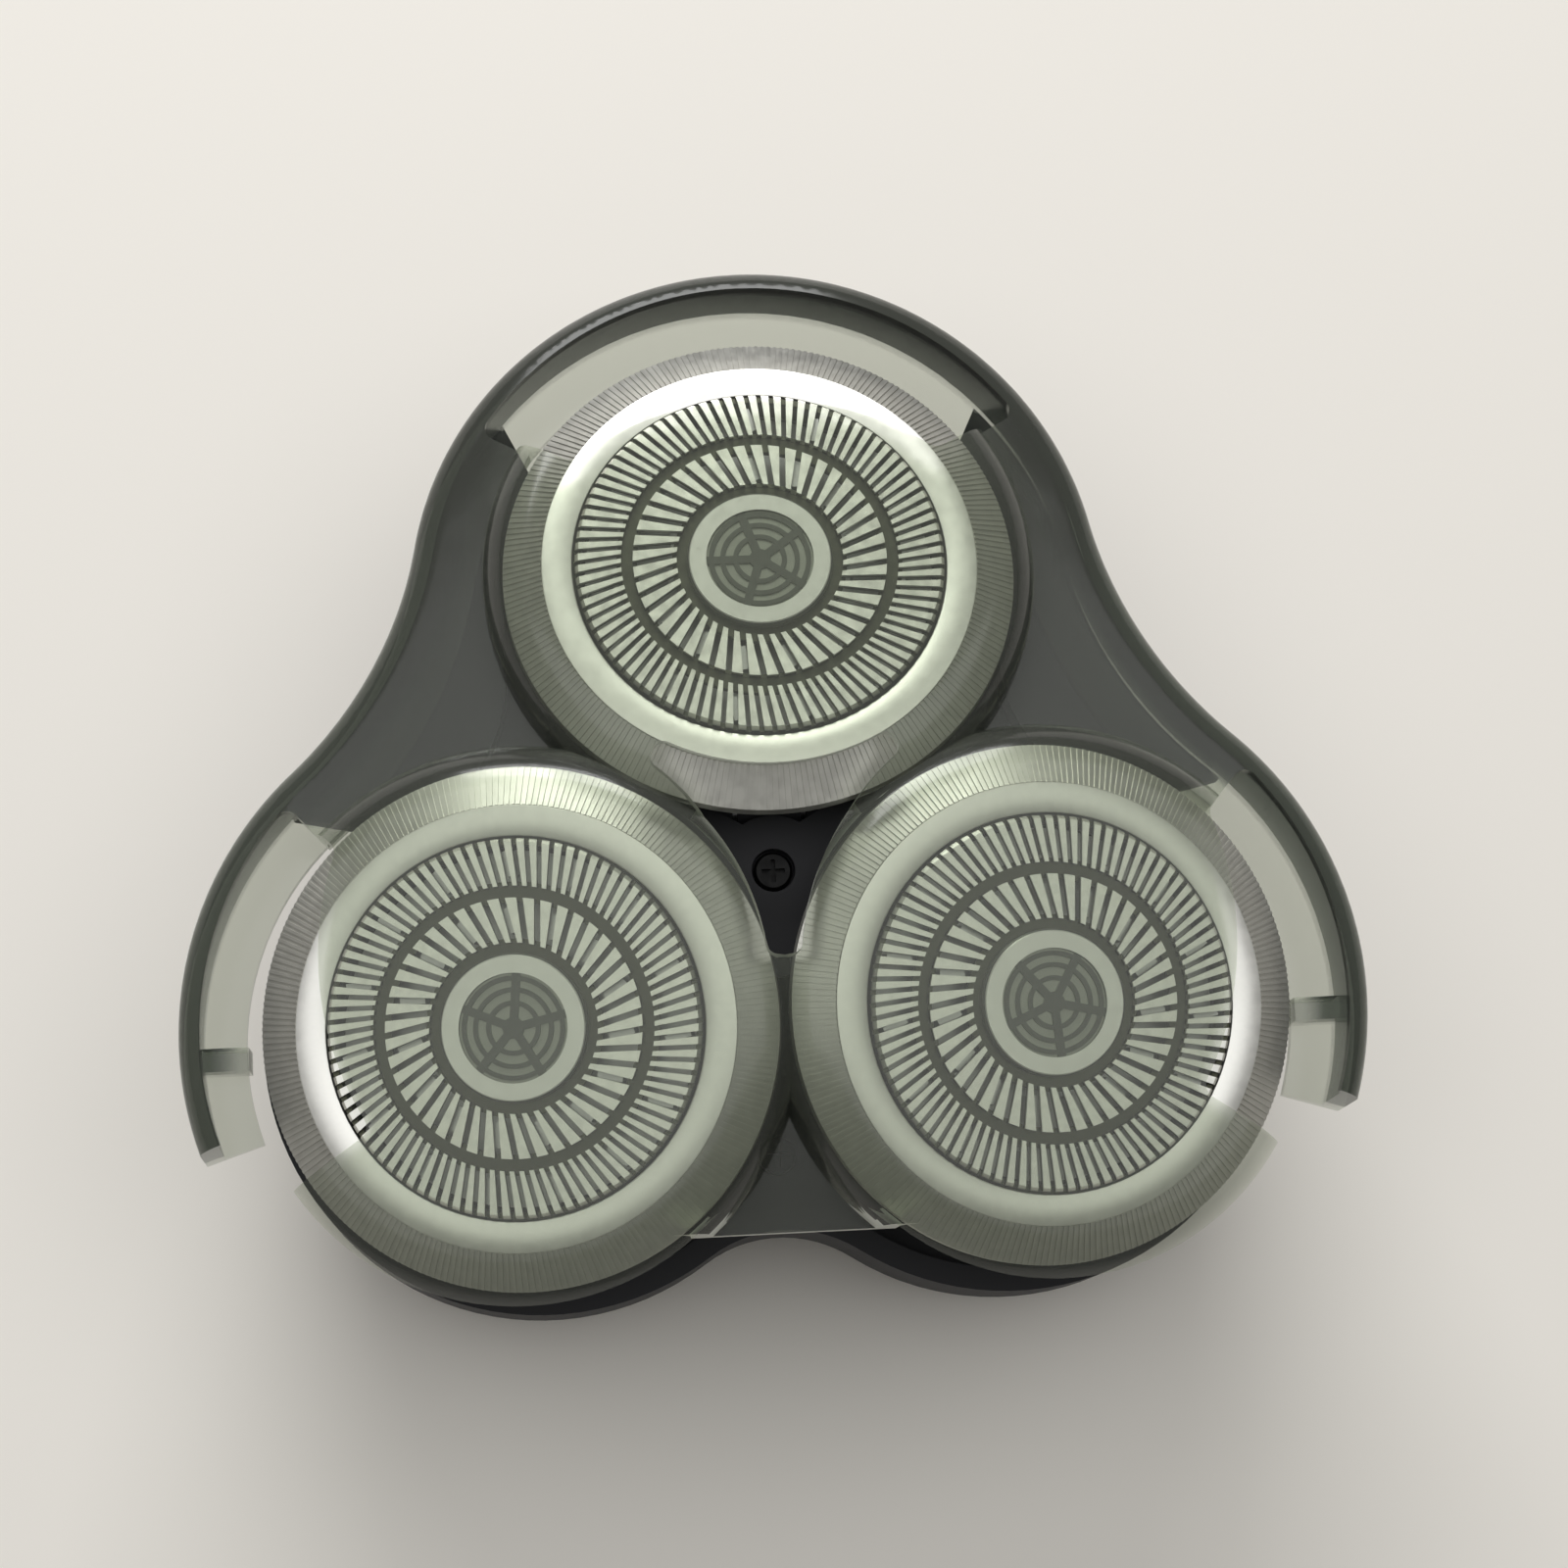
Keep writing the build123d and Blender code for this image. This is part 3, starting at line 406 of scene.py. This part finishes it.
def map_range(tree, value, start, end, low=0, high=1, interpolation="LINEAR"):
    """A value that goes from low to high while the given one goes from start to end."""
    node = tree.nodes.new("ShaderNodeMapRange")
    node.interpolation_type = interpolation
    labels = ("From Min", "From Max", "To Min", "To Max")
    for label, number in zip(labels, (start, end, low, high)):
        node.inputs[label].default_value = number
    link(tree, value, node.inputs["Value"])
    return node.outputs["Result"]


def ramp(tree, value, stops):
    """A colour ramp fed by a value, from (position, colour) stops."""
    node = tree.nodes.new("ShaderNodeValToRGB")
    elements = node.color_ramp.elements
    stops = list(stops)
    while len(elements) < len(stops):
        elements.new(0.5)
    for element, (position, colour) in zip(elements, stops):
        element.position = position
        element.color = (*colour, 1)
    link(tree, value, node.inputs["Fac"])
    return node.outputs["Color"]


def mottled(tree, grain, colour, share, span):
    """A colour that goes from a share of itself to all of it over a span of the noise."""
    dark = [part * share for part in colour]
    return ramp(tree, grain, zip(span, (dark, colour)))


def mix_colour(tree, factor, first, second, blend="MIX"):
    """A blend of two colours, which are sockets or plain."""
    node = tree.nodes.new("ShaderNodeMix")
    node.data_type = "RGBA"
    node.blend_type = blend
    for label, value in (("Factor", factor), ("A", first), ("B", second)):
        feed(tree, node.inputs[label], value)
    return node.outputs["Result"]


def mix_shader(tree, share, first, second):
    """A blend of two shaders, with the second one's share a socket or a number."""
    node = tree.nodes.new("ShaderNodeMixShader")
    feed(tree, node.inputs["Fac"], share)
    link(tree, first, node.inputs[1])
    link(tree, second, node.inputs[2])
    return node.outputs[0]


def see_through(tree):
    """A transparent shader node."""
    return tree.nodes.new("ShaderNodeBsdfTransparent")


def backfacing(tree):
    """A value socket that is 1 on the back of a face."""
    return tree.nodes.new("ShaderNodeNewGeometry").outputs["Backfacing"]


def noise(tree, vector, scale, detail):
    """A noise value socket."""
    node = tree.nodes.new("ShaderNodeTexNoise")
    node.inputs["Scale"].default_value = scale
    node.inputs["Detail"].default_value = detail
    link(tree, vector, node.inputs["Vector"])
    return node.outputs["Fac"]


def bump(tree, height, distance, strength=1):
    """A normal socket bumped by a height value."""
    node = tree.nodes.new("ShaderNodeBump")
    node.inputs["Strength"].default_value = strength
    node.inputs["Distance"].default_value = distance
    link(tree, height, node.inputs["Height"])
    return node.outputs["Normal"]


def speckle(tree, shader, vector, scale, depth, roughness):
    """Fine roughness changes and a shallow bump from one noise, whose socket is returned."""
    grain = noise(tree, vector, scale, GRAIN_DETAIL)
    link(tree, map_range(tree, grain, *NOISE_SPAN, *roughness), shader.inputs["Roughness"])
    link(tree, bump(tree, grain, depth), shader.inputs["Normal"])
    return grain


def object_coordinates(tree):
    """The piece's own coordinates, as a vector socket."""
    return tree.nodes.new("ShaderNodeTexCoord").outputs["Object"]


def head_coordinates(tree, name):
    """Coordinates in a head's own frame, in metres, as a vector socket."""
    inverse = head_matrix(name).inverted()
    mapping = tree.nodes.new("ShaderNodeMapping")
    mapping.vector_type = "POINT"
    mapping.inputs["Location"].default_value = inverse.to_translation()
    mapping.inputs["Rotation"].default_value = inverse.to_euler("XYZ")
    link(tree, object_coordinates(tree), mapping.inputs["Vector"])
    return mapping.outputs["Vector"]


def components(tree, vector):
    """The X, Y and Z sockets of a vector."""
    split = tree.nodes.new("ShaderNodeSeparateXYZ")
    link(tree, vector, split.inputs[0])
    return split.outputs


def depth_in_outline(tree, x, y):
    """How far a point lies inside the cap's outline in plan, as a value socket in metres."""
    # The outline repeats three times and mirrors, so one half of a lobe stands for all.
    # The turn puts the rear lobe's middle at pi / 3 and keeps the angle above 0.
    azimuth = compute(tree, "ADD", compute(tree, "ARCTAN2", y, x), tau - pi / 2 + pi / 3)
    third = compute(tree, "MODULO", azimuth, tau / 3)
    folded = compute(tree, "ABSOLUTE", compute(tree, "SUBTRACT", third, pi / 3))
    radius = plane_length(tree, x, y)
    along = compute(tree, "MULTIPLY", radius, compute(tree, "COSINE", folded))
    across = compute(tree, "MULTIPLY", radius, compute(tree, "SINE", folded))

    # The hollow's centre is as far from two lobes' centres as their radii together
    apart = LOBE_CENTRE * sin(pi / 3)
    reach = ((LOBE_RADIUS + HOLLOW_RADIUS) ** 2 - apart**2) ** 0.5 + LOBE_CENTRE / 2
    hollow_x, hollow_y = reach / 2, reach * sin(pi / 3)

    def distance(to_x, to_y):
        away = compute(tree, "SUBTRACT", along, to_x), compute(tree, "SUBTRACT", across, to_y)
        return plane_length(tree, *away)

    in_lobe = compute(tree, "SUBTRACT", LOBE_RADIUS, distance(LOBE_CENTRE, 0))
    in_waist = compute(tree, "SUBTRACT", distance(hollow_x, hollow_y), HOLLOW_RADIUS)
    bearing = compute(tree, "ARCTAN2", across, compute(tree, "SUBTRACT", along, LOBE_CENTRE))
    past = compute(tree, "GREATER_THAN", bearing, atan2(hollow_y, hollow_x - LOBE_CENTRE))
    step = compute(tree, "MULTIPLY", past, compute(tree, "SUBTRACT", in_waist, in_lobe))
    return compute(tree, "ADD", in_lobe, step)


# Materials: each function fills a new node tree around its principled shader


def material_named(name, build, *values):
    """The material of this name, which build fills when it is new."""
    material = bpy.data.materials.get(name)
    if material is None:
        material = bpy.data.materials.new(name)
        material.use_nodes = True
        tree = material.node_tree
        build(tree, tree.nodes["Principled BSDF"], *values)
    return material


def clear_plastic(tree, shader):
    """Smoky clear plastic: hazy, glossy outer faces over an inside that absorbs light."""
    values = settings("cap")
    output = tree.nodes["Material Output"]
    x, y, z = components(tree, object_coordinates(tree))

    # What each face lets through: the clear tint, or the rim's, with painted shade towards the
    # rear
    start, end = (values.rim_width * share for share in RIM_FADE)
    depth = depth_in_outline(tree, x, y)
    rim = map_range(tree, depth, start, end, interpolation="SMOOTHSTEP")
    rim = compute(tree, "MULTIPLY", rim, compute(tree, "GREATER_THAN", z, RIM_FOOT))
    # Painted shade: the rim's tint darkens towards the rear
    dark = [part * REAR_PAINTED_SHADE_SHARE for part in values.rim_colour]
    rim_tint_and_painted_shade = ramp(tree, map_range(tree, y, *REAR_PAINTED_SHADE), ((0, values.rim_colour), (1, dark)))
    clear = see_through(tree)
    link(tree, mix_colour(tree, rim, values.clear, rim_tint_and_painted_shade), clear.inputs["Color"])

    # Haze and gloss are on outer faces only: inner ones would mirror everything at low angles
    outer = compute(tree, "SUBTRACT", 1, backfacing(tree))
    feed(tree, shader.inputs["Base Color"], values.haze_colour)
    shader.inputs["Specular IOR Level"].default_value = 0
    shader.inputs["Roughness"].default_value = HAZE_ROUGHNESS
    share = compute(tree, "MULTIPLY", outer, values.haze)
    hazy = mix_shader(tree, share, clear.outputs[0], shader.outputs[0])
    gloss = tree.nodes.new("ShaderNodeBsdfAnisotropic")
    gloss.inputs["Roughness"].default_value = values.roughness
    fresnel = tree.nodes.new("ShaderNodeFresnel")
    fresnel.inputs["IOR"].default_value = values.refraction
    share = compute(tree, "MULTIPLY", outer, fresnel.outputs[0])
    link(tree, mix_shader(tree, share, hazy, gloss.outputs[0]), output.inputs["Surface"])

    smoke = tree.nodes.new("ShaderNodeVolumeAbsorption")
    feed(tree, smoke.inputs["Color"], values.smoke_colour)
    smoke.inputs["Density"].default_value = values.smoke
    link(tree, smoke.outputs[0], output.inputs["Volume"])


def painted_edge_highlight(tree, shader):
    """Rough, pale plastic on the narrow faces along the cap's openings, whose pale colour is a
    painted highlight along their edges.
    """
    feed(tree, shader.inputs["Base Color"], settings("cap").edge_highlight_colour)
    vector = object_coordinates(tree)
    speckle(tree, shader, vector, METAL_SCALE, FROST_DEPTH, FROST_ROUGHNESS)
    # Mostly the pale shader, which paints the highlight
    highlighted = mix_shader(tree, EDGE_HIGHLIGHT_SHARE, see_through(tree).outputs[0], shader.outputs[0])
    link(tree, highlighted, tree.nodes["Material Output"].inputs["Surface"])


def bright_plating(tree, shader, colour, roughness, metal=1):
    """Satin bright plating, or steel."""
    shader.inputs["Metallic"].default_value = metal
    grain = speckle(tree, shader, object_coordinates(tree), METAL_SCALE, GRAIN_DEPTH, roughness)
    tone = mottled(tree, grain, colour, PLATING_SHADE, PLATING_SPAN)
    link(tree, tone, shader.inputs["Base Color"])


def guard_steel(tree, shader, name):
    """Ground steel bars, grooves darkened by painted shade, and fine turning marks round the
    head's axis.
    """
    values = settings("steel")
    shader.inputs["Metallic"].default_value = 1
    vector = head_coordinates(tree, name)
    x, y, height = components(tree, vector)
    # Painted shade: below the groove heights the colour turns to the dark groove colour
    sunk = map_range(tree, height, *GROOVE_SPAN)
    colour = mix_colour(tree, sunk, values.guard, values.groove_shade)
    grain = noise(tree, vector, GUARD_SCALE, GUARD_DETAIL)
    tone = mottled(tree, grain, (1, 1, 1), GUARD_SHADE, NOISE_SPAN)
    link(tree, mix_colour(tree, 1, colour, tone, "MULTIPLY"), shader.inputs["Base Color"])
    link(tree, map_range(tree, grain, 0, 1, *GUARD_ROUGHNESS), shader.inputs["Roughness"])
    turns = compute(tree, "MULTIPLY", plane_length(tree, x, y), tau / TURNING_PITCH)
    marks = compute(tree, "SINE", turns)
    link(tree, bump(tree, marks, TURNING_DEPTH, TURNING_STRENGTH), shader.inputs["Normal"])


def badge_metal(tree, shader, name):
    """The round cover: a bright ring, and a sunk disc with darker raised rings and spokes."""
    values = settings("steel")
    shader.inputs["Metallic"].default_value = COVER_METAL
    vector = head_coordinates(tree, name)
    level = map_range(tree, components(tree, vector)[2], *COVER_SPAN)
    stops = zip(COVER_LEVELS, (values.disc, values.relief, values.relief, values.badge))
    link(tree, ramp(tree, level, stops), shader.inputs["Base Color"])
    speckle(tree, shader, vector, COVER_SCALE, GRAIN_DEPTH, COVER_ROUGHNESS)


def moulded_plastic(tree, shader, colour):
    """Fine moulded plastic with a slight grain."""
    vector = object_coordinates(tree)
    grain = speckle(tree, shader, vector, PLASTIC_SCALE, GRAIN_DEPTH, PLASTIC_ROUGHNESS)
    tone = mottled(tree, grain, colour, PLASTIC_SHADE, NOISE_SPAN)
    link(tree, tone, shader.inputs["Base Color"])


def table_top(tree, shader):
    """A plain satin table, which is see-through from below."""
    feed(tree, shader.inputs["Base Color"], settings("stage").floor)
    shader.inputs["Roughness"].default_value = TABLE_ROUGHNESS
    clear = see_through(tree).outputs[0]
    one_sided = mix_shader(tree, backfacing(tree), shader.outputs[0], clear)
    link(tree, one_sided, tree.nodes["Material Output"].inputs["Surface"])


# Meshes


def new_object(name, data):
    """An object in the scene's collection."""
    item = bpy.data.objects.new(name, data)
    bpy.context.scene.collection.objects.link(item)
    return item


def merged_copy(name, node, angle=SHARP_ANGLE):
    """A welded, smooth-shaded copy of a solid's mesh, with its edges above the angle sharp."""
    mesh = NODES[node].data.copy()
    mesh.name = name
    work = bmesh.new()
    work.from_mesh(mesh)
    bmesh.ops.remove_doubles(work, verts=work.verts, dist=WELD_DISTANCE)
    bmesh.ops.dissolve_degenerate(work, edges=work.edges, dist=SLIVER_LENGTH)
    for face in work.faces:
        face.smooth = True
    for edge in work.edges:
        edge.smooth = len(edge.link_faces) == 2 and edge.calc_face_angle(0) < angle
    work.to_mesh(mesh)
    work.free()
    mesh.materials.clear()
    if "custom_normal" in mesh.attributes:
        mesh.attributes.remove(mesh.attributes["custom_normal"])
    return new_object(name, mesh)


def turned(name, profile):
    """A closed ring turned about Z from (radius, height) points, with sharp corners kept."""
    mesh = bpy.data.meshes.new(name)
    work = bmesh.new()
    rows = []
    for k in range(RING_STEPS):
        turn = tau * k / RING_STEPS
        rows.append([work.verts.new((r * cos(turn), r * sin(turn), z)) for r, z in profile])
    count = len(profile)
    for k in range(RING_STEPS):
        here, after = rows[k], rows[(k + 1) % RING_STEPS]
        for i in range(count):
            j = (i + 1) % count
            work.faces.new((here[i], after[i], after[j], here[j]))
    bmesh.ops.recalc_face_normals(work, faces=work.faces)
    for face in work.faces:
        face.smooth = True
    for edge in work.edges:
        edge.smooth = edge.calc_face_angle(0) < RING_SHARP_ANGLE
    work.to_mesh(mesh)
    work.free()
    return new_object(name, mesh)


def finish(piece, material, body, node):
    """Give a piece its finish, its body and the solid it stands for."""
    piece.data.materials.clear()
    piece.data.materials.append(material)
    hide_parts(node)
    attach(piece, body)


def dress(node, material):
    """Give a solid that stays as it is its finish."""
    NODES[node].data.materials.clear()
    NODES[node].data.materials.append(material)


def rib_tree():
    """A node tree that sets fine ribs round a ring's sloping side."""
    tree = bpy.data.node_groups.new("Ring ribs", "GeometryNodeTree")
    face = tree.interface
    face.new_socket("Geometry", in_out="INPUT", socket_type="NodeSocketGeometry")
    for label, kind, default in (
        ("Count", "NodeSocketInt", 250),
        ("Radius", "NodeSocketFloat", 0.0142),
        ("Height", "NodeSocketFloat", -0.0012),
        ("Length", "NodeSocketFloat", 0.0024),
        ("Width", "NodeSocketFloat", 0.00018),
        ("Rise", "NodeSocketFloat", 0.0002),
        ("Slope", "NodeSocketFloat", 0.64),
    ):
        socket = face.new_socket(label, in_out="INPUT", socket_type=kind)
        socket.default_value = default
    face.new_socket("Finish", in_out="INPUT", socket_type="NodeSocketMaterial")
    face.new_socket("Geometry", in_out="OUTPUT", socket_type="NodeSocketGeometry")
    nodes = tree.nodes
    given, end = nodes.new("NodeGroupInput").outputs, nodes.new("NodeGroupOutput")

    def vector(**axes):
        """A vector socket from value sockets; the axes left out are 0."""
        node = nodes.new("ShaderNodeCombineXYZ")
        for axis, value in axes.items():
            link(tree, value, node.inputs[axis])
        return node.outputs[0]

    # One rib: a box laid along the slope
    rib = nodes.new("GeometryNodeMeshCube")
    size = vector(X=given["Length"], Y=given["Width"], Z=given["Rise"])
    link(tree, size, rib.inputs["Size"])
    move = nodes.new("GeometryNodeTransform")
    link(tree, rib.outputs["Mesh"], move.inputs["Geometry"])
    place = vector(X=given["Radius"], Z=given["Height"])
    link(tree, place, move.inputs["Translation"])
    link(tree, vector(Y=given["Slope"]), move.inputs["Rotation"])

    # All ribs, turned evenly about the ring's axis and joined to the ring
    points = nodes.new("GeometryNodePoints")
    link(tree, given["Count"], points.inputs["Count"])
    index = nodes.new("GeometryNodeInputIndex").outputs[0]
    share = compute(tree, "DIVIDE", index, given["Count"])
    spread = nodes.new("GeometryNodeInstanceOnPoints")
    link(tree, points.outputs[0], spread.inputs["Points"])
    link(tree, move.outputs[0], spread.inputs["Instance"])
    turn = vector(Z=compute(tree, "MULTIPLY", share, tau))
    link(tree, turn, spread.inputs["Rotation"])
    real = nodes.new("GeometryNodeRealizeInstances")
    link(tree, spread.outputs[0], real.inputs[0])
    join = nodes.new("GeometryNodeJoinGeometry")
    link(tree, real.outputs[0], join.inputs[0])
    link(tree, given["Geometry"], join.inputs[0])
    paint = nodes.new("GeometryNodeSetMaterial")
    link(tree, join.outputs[0], paint.inputs["Geometry"])
    link(tree, given["Finish"], paint.inputs["Material"])
    link(tree, paint.outputs[0], end.inputs[0])
    return tree


def run_tree(piece, tree, values):
    """Run a node tree on a piece and keep the result as its plain mesh."""
    modifier = piece.modifiers.new("Build", "NODES")
    modifier.node_group = tree
    for item in tree.interface.items_tree:
        if item.item_type == "SOCKET" and item.in_out == "INPUT" and item.name in values:
            modifier[item.identifier] = values[item.name]
    graph = bpy.context.evaluated_depsgraph_get()
    graph.update()
    mesh = bpy.data.meshes.new_from_object(piece.evaluated_get(graph))
    piece.modifiers.remove(modifier)
    piece.data = mesh


def ring_profile(values):
    """The section of a bright ring without its ribs, as (radius, height) points."""
    face, edge, bore = values.face_radius, values.side_radius, values.bore
    top, rise = -values.face_drop, values.rib_rise
    foot = top - values.slope_drop
    collar_outer, collar_inner = COLLAR_RADII
    return [
        (bore, SEAT_HEIGHT),
        (bore, top - FACE_BEVEL),
        (bore + BEVEL_MIDDLE, top - BEVEL_MIDDLE),
        (bore + FACE_BEVEL, top),
        (face - FACE_BEVEL, top),
        (face - BEVEL_MIDDLE, top - BEVEL_MIDDLE),
        (face, top - FACE_BEVEL),
        (face, top - FACE_BEVEL - rise),
        (edge - rise, foot - rise * SLOPE_DIP),
        (edge - rise, foot - SIDE_LAND),
        (edge - SIDE_CHAMFER, SIDE_FOOT),
        (collar_outer, SIDE_FOOT),
        (collar_outer, COLLAR_FOOT),
        (collar_inner, COLLAR_FOOT),
        (collar_inner, SEAT_HEIGHT),
    ]


def rib_values(values):
    """What the node tree needs to set ribs on a ring's slope."""
    face, edge, rise = values.face_radius, values.side_radius, values.rib_rise
    top = -values.face_drop - FACE_BEVEL
    foot = -values.face_drop - values.slope_drop
    run, fall = edge - rise / 2 - face, top - foot
    radius = (face + edge - rise) / 2
    sink_in, sink_down = (rise * share for share in RIB_SINK)
    return {
        "Count": values.ribs,
        "Radius": radius - sink_in,
        "Height": (top + foot) / 2 - sink_down,
        "Length": hypot(run, fall) * RIB_LENGTH_SHARE,
        "Width": tau * radius / values.ribs * values.rib_share,
        "Rise": rise * RIB_THICKNESS,
        "Slope": atan2(fall, run),
    }


# Operators, one for each piece or group of like pieces


class SHAVER_OT_cap(bpy.types.Operator):
    """Finish the clear cap"""

    bl_idname = "shaver.cap"
    bl_label = "Clear cap"

    def execute(self, context):
        cap = merged_copy("clear_cap", "cap", CAP_SHARP_ANGLE)
        plastic = material_named("smoky_clear_plastic", clear_plastic)
        finish(cap, plastic, "cap", "cap")
        cap.data.materials.append(material_named("cut_edge_plastic", painted_edge_highlight))
        # The upright faces along the openings take the painted edge highlight
        for face in cap.data.polygons:
            middle = face.center
            inner = middle.xy.length < CENTRE_OPENING or middle.y < FRONT_OPENING
            if abs(face.normal.z) < EDGE_UPRIGHT and middle.z > EDGE_FOOT and inner:
                face.material_index = 1
        return {"FINISHED"}


class SHAVER_OT_rings(bpy.types.Operator):
    """Build the bright rings with their fine ribs"""

    bl_idname = "shaver.rings"
    bl_label = "Bright rings"

    def execute(self, context):
        values = settings("ring")
        bright = material_named(
            "bright_face", bright_plating, values.colour, FACE_ROUGHNESS, values.face_metal
        )
        # Painted shade: the ribbed side takes the same plating in a darker colour
        side = material_named(
            "ribbed_side", bright_plating, values.shaded_side_colour, SIDE_ROUGHNESS, values.side_metal
        )
        tree = rib_tree()
        top, edge_of_face = -values.face_drop, values.face_radius - FACE_MARGIN
        for name in HEADS:
            ring = turned("bright_ring_" + name, ring_profile(values))
            run_tree(ring, tree, {**rib_values(values), "Finish": bright})
            finish(ring, bright, "head_" + name, "bezel_" + name)
            ring.data.materials.append(side)
            for face in ring.data.polygons:
                middle = face.center
                on_side = middle.xy.length > edge_of_face and middle.z < top
                face.material_index = int(on_side)
            ring.data.transform(head_matrix(name))
        return {"FINISHED"}


class SHAVER_OT_guards(bpy.types.Operator):
    """Finish the slotted guards, their round covers and the cutters under them"""

    bl_idname = "shaver.guards"
    bl_label = "Guards and cutters"

    def execute(self, context):
        cutter = material_named("cutter_steel", bright_plating, *CUTTER_STEEL)
        for name in HEADS:
            dress("guard_" + name, material_named("guard_steel_" + name, guard_steel, name))
            dress("badge_" + name, material_named("round_cover_" + name, badge_metal, name))
            dress("cutter_" + name, cutter)
        return {"FINISHED"}


class SHAVER_OT_base(bpy.types.Operator):
    """Finish the black base, hub and hair chambers"""

    bl_idname = "shaver.base"
    bl_label = "Black base"

    def execute(self, context):
        black = material_named("black_plastic", moulded_plastic, settings("base").black)
        pieces = {"base_housing": "base", "base_cover": "base", "hub_plate": "base"}
        for name in HEADS:
            pieces["hair_chamber_" + name] = "head_" + name
        for node, body in pieces.items():
            finish(merged_copy(node + "_shell", node), black, body, node)
        return {"FINISHED"}


class SHAVER_OT_works(bpy.types.Operator):
    """Finish the gears, spindles, springs, pins and screws"""

    bl_idname = "shaver.works"
    bl_label = "Works"

    def execute(self, context):
        acetal = material_named("gear_plastic", moulded_plastic, settings("base").works)
        grey = material_named("carrier_plastic", moulded_plastic, CARRIER_GREY)
        steel = material_named("fixing_steel", bright_plating, *FIXING_STEEL)
        dark = material_named("screw_black", bright_plating, *SCREW_BLACK)
        dress("drive_gear", acetal)
        dress("hub_screw", dark)
        dress("cover_screws", dark)
        for name in HEADS:
            dress("head_gear_" + name, acetal)
            dress("spindle_" + name, acetal)
            dress("cutter_carrier_" + name, grey)
            dress("retainer_" + name, grey)
            dress("hinge_pin_" + name, steel)
            coil = "spindle_spring_" + name
            spring = merged_copy("coil_spring_" + name, coil)
            finish(spring, steel, "gear_" + name, coil)
            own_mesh(spring)
        return {"FINISHED"}


class SHAVER_OT_stage(bpy.types.Operator):
    """Set the table, the soft light and the camera"""

    bl_idname = "shaver.stage"
    bl_label = "Stage"

    def execute(self, context):
        values = settings("stage")
        scene = context.scene
        mesh = bpy.data.meshes.new("table")
        signs = ((-1, -1), (1, -1), (1, 1), (-1, 1))
        corners = [(TABLE_HALF * x, TABLE_HALF * y, TABLE_HEIGHT) for x, y in signs]
        mesh.from_pydata(corners, [], [(0, 1, 2, 3)])
        mesh.materials.append(material_named("table_top", table_top))
        table = new_object("table", mesh)

        world = bpy.data.worlds.new("studio")
        scene.world = world
        world.use_nodes = True
        even = world.node_tree.nodes["Background"]
        feed(world.node_tree, even.inputs["Color"], WORLD_COLOUR)
        even.inputs["Strength"].default_value = values.world

        for name, (place, aim, size) in PANELS.items():
            lamp = bpy.data.lights.new(name + "_panel", "AREA")
            lamp.shape = "RECTANGLE"
            lamp.size, lamp.size_y = size
            lamp.energy = getattr(values, name)
            panel = new_object(name + "_panel", lamp)
            panel.location = place
            facing = Vector(aim) - Vector(place)
            panel.rotation_euler = facing.to_track_quat("-Z", "Y").to_euler()

        lens = bpy.data.cameras.new("camera")
        lens.lens = values.lens
        lens.sensor_width = SENSOR_WIDTH
        lens.clip_start = CLIP_START
        place = Vector(values.camera_place)
        forward = (Vector(values.camera_aim) - place).normalized()
        right = forward.cross(Vector((0, 1, 0))).normalized()
        up = right.cross(forward)
        roll = values.camera_roll
        across = right * cos(roll) + up * sin(roll)
        upward = up * cos(roll) - right * sin(roll)
        matrix = Matrix((across, upward, -forward)).transposed().to_4x4()
        matrix.translation = place
        camera = new_object("camera", lens)
        camera.matrix_world = matrix
        scene.camera = camera
        scene.view_settings.view_transform = "Standard"
        return {"FINISHED"}


class SHAVER_PT_panel(bpy.types.Panel):
    """The shaving head's pieces and settings"""

    bl_idname = "SHAVER_PT_panel"
    bl_label = "Shaving head"
    bl_space_type = "VIEW_3D"
    bl_region_type = "UI"
    bl_category = "Shaver"

    def draw(self, context):
        for group, operators in (
            ("cap", ("shaver.cap",)),
            ("ring", ("shaver.rings",)),
            ("steel", ("shaver.guards",)),
            ("base", ("shaver.base", "shaver.works")),
            ("stage", ("shaver.stage",)),
        ):
            box = self.layout.box()
            values = settings(group)
            for key in values.__annotations__:
                box.prop(values, key)
            for operator in operators:
                box.operator(operator)


GROUPS = {
    "cap": CapSettings,
    "ring": RingSettings,
    "steel": SteelSettings,
    "base": BaseSettings,
    "stage": StageSettings,
}
CLASSES = (
    *GROUPS.values(),
    SHAVER_OT_cap,
    SHAVER_OT_rings,
    SHAVER_OT_guards,
    SHAVER_OT_base,
    SHAVER_OT_works,
    SHAVER_OT_stage,
    SHAVER_PT_panel,
)


def register():
    for item in CLASSES:
        bpy.utils.register_class(item)
    for name, group in GROUPS.items():
        setattr(bpy.types.Scene, "shaver_" + name, PointerProperty(type=group))


def unregister():
    for name in GROUPS:
        delattr(bpy.types.Scene, "shaver_" + name)
    for item in reversed(CLASSES):
        bpy.utils.unregister_class(item)


def main():
    register()
    bpy.ops.shaver.stage()
    bpy.ops.shaver.base()
    bpy.ops.shaver.works()
    bpy.ops.shaver.guards()
    bpy.ops.shaver.rings()
    bpy.ops.shaver.cap()


if __name__ == "__main__":
    main()
